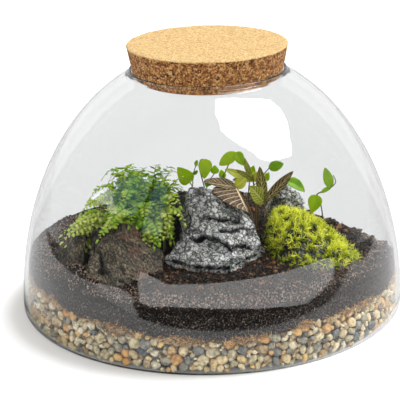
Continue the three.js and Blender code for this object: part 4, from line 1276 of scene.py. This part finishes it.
# Each stem: its foot, its path, its side stalks, and its leaves as foot, tip, the way the
# leaf faces, width, shape and tone
FRONT = (0, -1, 0.35)
HEART = {"kind": "heart"}
FIG_STEMS = [
    ((-10, 30), [(-11, 26, 72), (-14, 19, 86), (-16, 17, 91)],
     [[(-14, 19, 86), (-13, 19, 97), (-11, 18, 104)]],
     [((-16, 17, 91), (-25, 14, 104), FRONT, 13, HEART, 0.75),
      ((-11, 18, 104), (-10, 17, 109), (-1, -1, 0.5), 4, {}, 0.5),
      ((-13, 19, 97), (-9.5, 18, 100), (1, -1, 0.5), 3.6, {}, 0.45)]),
    ((-3, 34), [(-4, 30, 78), (-8, 25, 99), (-7, 20, 108), (-3, 15, 110)],
     [[(-4, 30, 78), (0, 24, 90), (4, 20, 97)]],
     [((-3, 15, 110), (-4.5, 9, 96), FRONT, 11, HEART, 0.75),
      ((4, 20, 97), (4, 17, 104), FRONT, 7, {}, 0.7),
      ((0, 24, 90), (-3, 18, 87), (0, -0.7, 0.7), 7, {}, 0.1)]),
    ((10, 30), [(9, 24, 80), (10.5, 19, 93), (16, 13, 108), (21, 12, 116)],
     [[(9, 24, 80), (17, 17, 90), (22, 13, 94)]],
     [((21, 12, 116), (7.5, 9, 107), FRONT, 9.5, {}, 0.72),
      ((21, 12, 116), (27, 10, 106), (0.3, -1, 0.2), 8.5, HEART, 0.5),
      ((10.5, 19, 93), (9, 14, 101), FRONT, 6, {}, 0.9),
      ((10.5, 19, 93), (10, 9, 97), (0.7, -1, 0.3), 9, HEART, 0.15),
      ((22, 13, 94), (24, 7, 99), (0, -0.5, 1), 10, HEART, 0.25)]),
    ((30, 34), [(31, 28, 80), (33, 26, 94)],
     [[(31, 28, 80), (38, 27, 86), (44, 26, 89)]],
     [((33, 26, 94), (35, 24, 101), FRONT, 6.5, HEART, 0.55),
      ((44, 26, 89), (47, 24, 95), FRONT, 6.5, HEART, 0.6)]),
    ((38, 26), [(38, 22, 76), (41, 17, 93), (47, 15, 102)], [],
     [((47, 15, 102), (58, 13, 106), (0.1, -1, 0.5), 8.5, {}, 0.35)]),
    ((62, 60), [(62, 57, 70), (63, 54, 78)], [],
     [((63, 54, 78), (78, 48, 74), (0.2, -0.6, 0.9), 12,
       {"fold": (0.45, 0.45), "curl": 0.3}, 0.3)]),
    ((92, 40), [(90, 37, 62), (86, 34, 72), (97, 29, 80), (101, 28, 85), (99, 27, 91)], [],
     [((86, 34, 72), (82, 30, 58), FRONT, 12.5, {"kind": "heart", "fold": (0.4, 0.4)}, 0.7),
      ((97, 29, 80), (92.5, 27, 97), FRONT, 8.5, {}, 0.5),
      ((97, 29, 80), (88.5, 27, 77), (0, -0.5, 1), 4.5, {}, 0.4)]),
]


def figs():
    green = leaf_green("creeping_fig_leaf", [
        (0.1, "#3a6a0c"), (0.35, "#7cae0c"), (0.6, "#b4d612"), (0.85, "#dcee30")],
        glow=0.45, shine=0.35, scale=6.0)
    bark = leaf_green("creeping_fig_stem", [(0.2, "#3b3220"), (0.8, "#7d7240")], glow=0.0, shine=0.6)
    leafy_stems(FIG_STEMS, "fig", "fig_stem", "fig_leaf", [green, bark], 0.6, 0.0)


# Nerve plant: dark olive and brown leaves with a net of pale pink veins.

NERVE_STEMS = [
    ((34, 4), [(31, 1, 72), (20, -3, 93)], [], [
        ((20, -3, 93), (28.5, -38, 86), (0.2, -0.16, 0.93), 44,
         {"kind": "heart", "fold": (0.05, -1.2), "shown": 0.45, "curl": 0.06, "across": 24,
          "rows": 26}, 0.15),
        ((20, -3, 93), (-5, -8, 98), (0.1, -0.25, 1), 16, {"curl": -0.06}, 0.3),
        ((20, -3, 93), (28, -4, 100), (0.3, -1, 0.6), 9, {}, 0.75)]),
    ((36, 12), [(36, 9, 76), (34, 5, 95)], [], [
        ((34, 5, 95), (11, 3, 105), (0, -0.8, 0.6), 8, {"curl": -0.1}, 0.7),
        ((34, 5, 95), (26.5, 5, 113), (-0.5, -1, 0), 6, {"fold": (0.6, 0.6)}, 0.6),
        ((34, 5, 95), (36.5, 1, 103), (0, -1, 0.6), 8, {}, 0.9),
        ((34, 5, 95), (20, 1, 108), (-0.5, -1, 0.4), 4.5, {"curl": -0.2}, 0.55)]),
    ((45, 3), [(44.5, 1, 64), (42, -2, 79)], [], [
        ((42, -2, 79), (38.5, -2, 108), (-0.2, -1, 0.2), 9, {}, 0.42),
        ((42, -2, 79), (66, -1, 104), (-0.6, -1, 0.5), 9, {"curl": -0.04}, 0.36),
        ((42, -2, 79), (32, -7, 94), (0.2, -1, 0.5), 13, {}, 0.6)]),
]


def veined_leaf():
    made, add, shader = material("nerve_plant_leaf", 0.5, Specular_IOR_Level=0.15)
    place, tone = readings(add)
    surface = add("SeparateXYZ", add("UVMap", uv_map="leaf"))
    middle = add("Math", surface.outputs["X"], 0.5, operation="SUBTRACT")
    off = add("Math", middle, operation="ABSOLUTE")
    bow = add("Math", off, -0.5, surface.outputs["Y"], operation="MULTIPLY_ADD")
    ribs = add("Math", bow, 0.065, operation="PINGPONG")
    rib = add("ValToRGB", add("Math", ribs, 15.0, operation="MULTIPLY"), stops=[
        (0.04, "#ffffff"), (0.13, "#000000")])
    spine = add("ValToRGB", add("Math", off, 10.0, operation="MULTIPLY"), stops=[
        (0.1, "#ffffff"), (0.24, "#000000")])
    net = add("TexVoronoi", Vector=place, Scale=per(2.2), feature="DISTANCE_TO_EDGE")
    mesh = add("ValToRGB", net, stops=[(0.025, "#8c8c8c"), (0.085, "#000000")])
    first = add("MixRGB", 1.0, rib, spine, blend_type="LIGHTEN")
    veins = add("MixRGB", 1.0, first, mesh, blend_type="LIGHTEN")
    cloud = add("TexNoise", Vector=place, Scale=per(5), Detail=4.0)
    mixed = add("MixRGB", 0.15, tone, cloud)
    ground = add("ValToRGB", mixed, stops=[
        (0.15, "#160804"), (0.3, "#2c150b"), (0.42, "#43370f"), (0.6, "#7d881c"), (0.8, "#c9cd2a")])
    pale = add("ValToRGB", tone, stops=[
        (0.2, "#f6d8ac"), (0.4, "#eadb92"), (0.6, "#ebe588"), (0.9, "#ecee8c")])
    both = add("MixRGB", veins, ground, pale)
    relief = add("Bump", Height=veins, Strength=0.6, Distance=0.0005)
    connect(shader, Base_Color=both, Normal=relief)
    return made


def nerve_plants():
    leaf = veined_leaf()
    stalk = leaf_green("nerve_plant_stalk", [(0.2, "#5b3a26"), (0.8, "#8f7a45")], glow=0.0,
                       shine=0.6)
    leafy_stems(NERVE_STEMS, "nerve", "nerve_plant", "nerve_plant_leaf", [leaf, stalk], 0.9, 0.5)


# Table, lamps and surroundings, which aren't part of the object


GLASS_FOOT = 0.1463  # metres; the table glows only outside it, seen through the glass


def staged(name, bm, finish):
    """A thing round the object that isn't part of it."""
    thing = bpy.data.objects.new(name, shape(bm))
    bpy.context.collection.objects.link(thing)
    thing.data.materials.append(finish)
    return thing


def studio():
    made, add, shader = material("matt_white_card", 0.9, Specular_IOR_Level=0.0)
    path = add("LightPath")
    direct = add("Math", path.outputs["Glossy Depth"], 0.5, operation="LESS_THAN")
    away = add("VectorMath", add("TexCoord").outputs["Object"], operation="LENGTH")
    beyond = add("Math", away.outputs["Value"], GLASS_FOOT, operation="GREATER_THAN")
    clear = add("Math", direct, beyond, operation="MULTIPLY")
    through = add("Math", path.outputs["Is Transmission Ray"], clear, operation="MULTIPLY")
    paper = add("Emission", Color="#ffffff", Strength=0.97)
    both = add("MixShader", through, shader, paper)
    # Seen in the glass the table is painted darker, and darker still behind: painted shade for the
    # dimmer room.
    lying = add("SeparateXYZ", add("TexCoord").outputs["Object"])
    behind = add("MapRange", Value=lying.outputs["Y"], From_Min=0.0, From_Max=0.35, To_Min=0.0,
                 To_Max=1.0)
    mirrored = add("Math", path.outputs["Glossy Depth"], 0.5, operation="GREATER_THAN")
    dimmed = add("Math", behind, mirrored, operation="MULTIPLY")
    front = add("MixRGB", mirrored, "#efefef", "#dadada")
    white = add("MixRGB", dimmed, front, "#cccccc")
    connect(shader, Base_Color=white)
    connect(made.node_tree.nodes["Material Output"], Surface=both)
    bm = bmesh.new()
    place = Matrix.Translation((0, 1.66, -0.0001)) @ Matrix.Diagonal((3, 2, 1, 1))
    bmesh.ops.create_grid(bm, x_segments=1, y_segments=1, size=1, matrix=place)
    staged("table", bm, made)

    # A wide soft lamp, high on the right and a little behind
    lamp = bpy.data.lights.new("key_lamp", "SUN")
    lamp.energy = 3.6
    lamp.angle = math.radians(34)
    lamp.cycles.use_multiple_importance_sampling = False
    key = bpy.data.objects.new("key_lamp", lamp)
    key.rotation_euler = Vector((0.5, 0.25, 0.83)).to_track_quat("Z", "Y").to_euler()
    bpy.context.collection.objects.link(key)

    # The room is white, but where it is mirrored it is dark on the camera's side and pale
    # behind. Light that is led round inside the glass stays bright.
    world = bpy.data.worlds.new("studio_room")
    world.use_nodes = True
    add = partial(node, world.node_tree)
    path = add("LightPath")
    mirrored = add("Math", path.outputs["Glossy Depth"], 0.5, operation="GREATER_THAN")
    way = add("SeparateXYZ", add("TexCoord").outputs["Generated"])
    back = add("MapRange", Value=way.outputs["Y"], From_Min=0.0, From_Max=0.6, To_Min=0.04,
               To_Max=0.95)
    guided = add("Math", path.outputs["Glossy Depth"], 1.5, operation="GREATER_THAN")
    dim = add("Math", guided, back, operation="MAXIMUM")
    strength = add("Mix", Factor=mirrored, A=1.0, B=dim)
    connect(world.node_tree.nodes["Background"], Color=(1, 1, 1, 1), Strength=strength)
    world.cycles.sampling_method = "NONE"
    bpy.context.scene.world = world


# What the dome mirrors, as glowing cards: brightness, colour and corners in metres. The two
# dark strips lie on the table, a sheet and a board stand in for the room in front, and the
# lamps and windows are about 2 m away.

STRIP_HEIGHT = 0.0005
CARDS = {
    "dark_left": (0.12, "#ffffff", [
        (-3.2, 0.6), (-0.85, 0.45), (-0.74, 0.3), (-0.7, 0.18), (-0.78, 0.07), (-0.84, -0.06),
        (-1.05, -0.342), (-3.2, -0.342)]),
    "dark_right": (0.12, "#ffffff", [
        (3.2, 0.5), (0.8, 0.3), (0.66, 0.18), (0.64, 0.05), (0.96, -0.07), (0.71, -0.14),
        (0.45, -0.18), (0.34, -0.2), (0.27, -0.24), (0.18, -0.28), (0.11, -0.3), (0, -0.332),
        (-0.1, -0.342), (3.2, -0.342)]),
    "left_sheet": (1.3, "#ffffff", [
        (-0.25, -0.345, 0), (-1.05, -0.345, 0), (-1.5, -0.66, 0), (-2.99, -2.05, 0),
        (-1.86, -1.64, 0), (-0.78, -0.83, 0), (-0.5, -0.55, 0), (-0.36, -0.44, 0)]),
    "front_board": (1.8, "#ffffff", [
        (-1.42, -1.57, 0.31), (-1.24, -1.72, 0.29), (-1.06, -1.85, 0.21), (-0.66, -2.03, 0.19),
        (-0.04, -2.13, 0.22), (0.58, -2.05, 0.185), (0.97, -1.9, 0.125), (1.25, -1.72, 0.105),
        (1.43, -1.57, 0.155), (1.68, -1.3, 0.23), (1.88, -0.97, 0.22), (2.02, -0.6, 0.16),
        (2.05, -0.5, 0.08), (2.04, -0.54, -0.02), (2.01, -0.65, -0.11), (1.95, -0.78, -0.21),
        (1.85, -1.01, -0.22), (1.62, -1.37, -0.18), (1.3, -1.68, -0.14), (0.55, -2.07, -0.07),
        (-0.26, -2.13, -0.04), (-0.85, -1.96, -0.05), (-1.22, -1.75, -0.09), (-1.41, -1.6, -0.07),
        (-1.46, -1.55, 0.17)]),
    "round_softbox": (14.0, "#ffffff", [
        (0.14, 0.26, 2.15), (0.69, 0.43, 2.0), (1.04, 0.69, 1.75), (1.24, 0.57, 1.65),
        (1.38, 0.36, 1.6), (1.48, 0.05, 1.56), (1.56, -0.21, 1.46), (1.56, -0.33, 1.45),
        (1.43, -0.54, 1.53), (1.21, -0.77, 1.62), (1.05, -0.83, 1.71), (0.9, -0.79, 1.81),
        (0.63, -0.76, 1.94), (0.43, -0.68, 2.03), (0.25, -0.53, 2.1), (0.22, -0.35, 2.14),
        (0.13, -0.13, 2.17)]),
    "left_window": (1.1, "#9fc6d6", [
        (-1.74, -0.43, 1.17), (-1.5, -0.69, 1.38), (-1.22, -1.0, 1.47), (-1.29, -1.16, 1.28),
        (-1.43, -1.17, 1.1), (-1.55, -1.15, 0.94), (-1.79, -0.8, 0.84), (-1.82, -0.53, 0.98)]),
    "right_window": (1.1, "#93b4d9", [
        (-1.11, -1.1, 1.5), (-0.92, -1.33, 1.45), (-0.99, -1.54, 1.14), (-1.07, -1.68, 0.83),
        (-1.42, -1.41, 0.79), (-1.33, -1.32, 1.06), (-1.24, -1.22, 1.29)]),
    "side_lamp": (2.2, "#ffffff", [
        (-1.99, -0.0, 0.72), (-1.92, -0.18, 0.9), (-1.82, -0.46, 1.03), (-1.75, -0.72, 1.01),
        (-1.77, -0.84, 0.87), (-1.86, -0.67, 0.79), (-1.9, -0.48, 0.85)]),
}


def cards():
    for name, (strength, code, corners) in CARDS.items():
        made, add, _ = material(name, 0.5)
        light = add("Emission", Color=code, Strength=strength)
        clear = add("BsdfTransparent")
        path = add("LightPath")
        mirrored = add("Math", path.outputs["Glossy Depth"], 0.5, operation="GREATER_THAN")
        both = add("MixShader", mirrored, clear, light)
        connect(made.node_tree.nodes["Material Output"], Surface=both)
        bm = bmesh.new()
        bm.faces.new([bm.verts.new((*corner, STRIP_HEIGHT)[:3]) for corner in corners])
        bmesh.ops.triangulate(bm, faces=bm.faces[:])
        card = staged(name, bm, made)
        card.visible_camera = False
        card.visible_diffuse = False
        card.visible_shadow = False


glass_dome()
cork_stopper()
gravel_layer()
fibre_mat()
potting_soil()
stones()
moss_cushion()
ferns()
figs()
nerve_plants()
studio()
cards()
bpy.context.scene.view_settings.view_transform = "Standard"
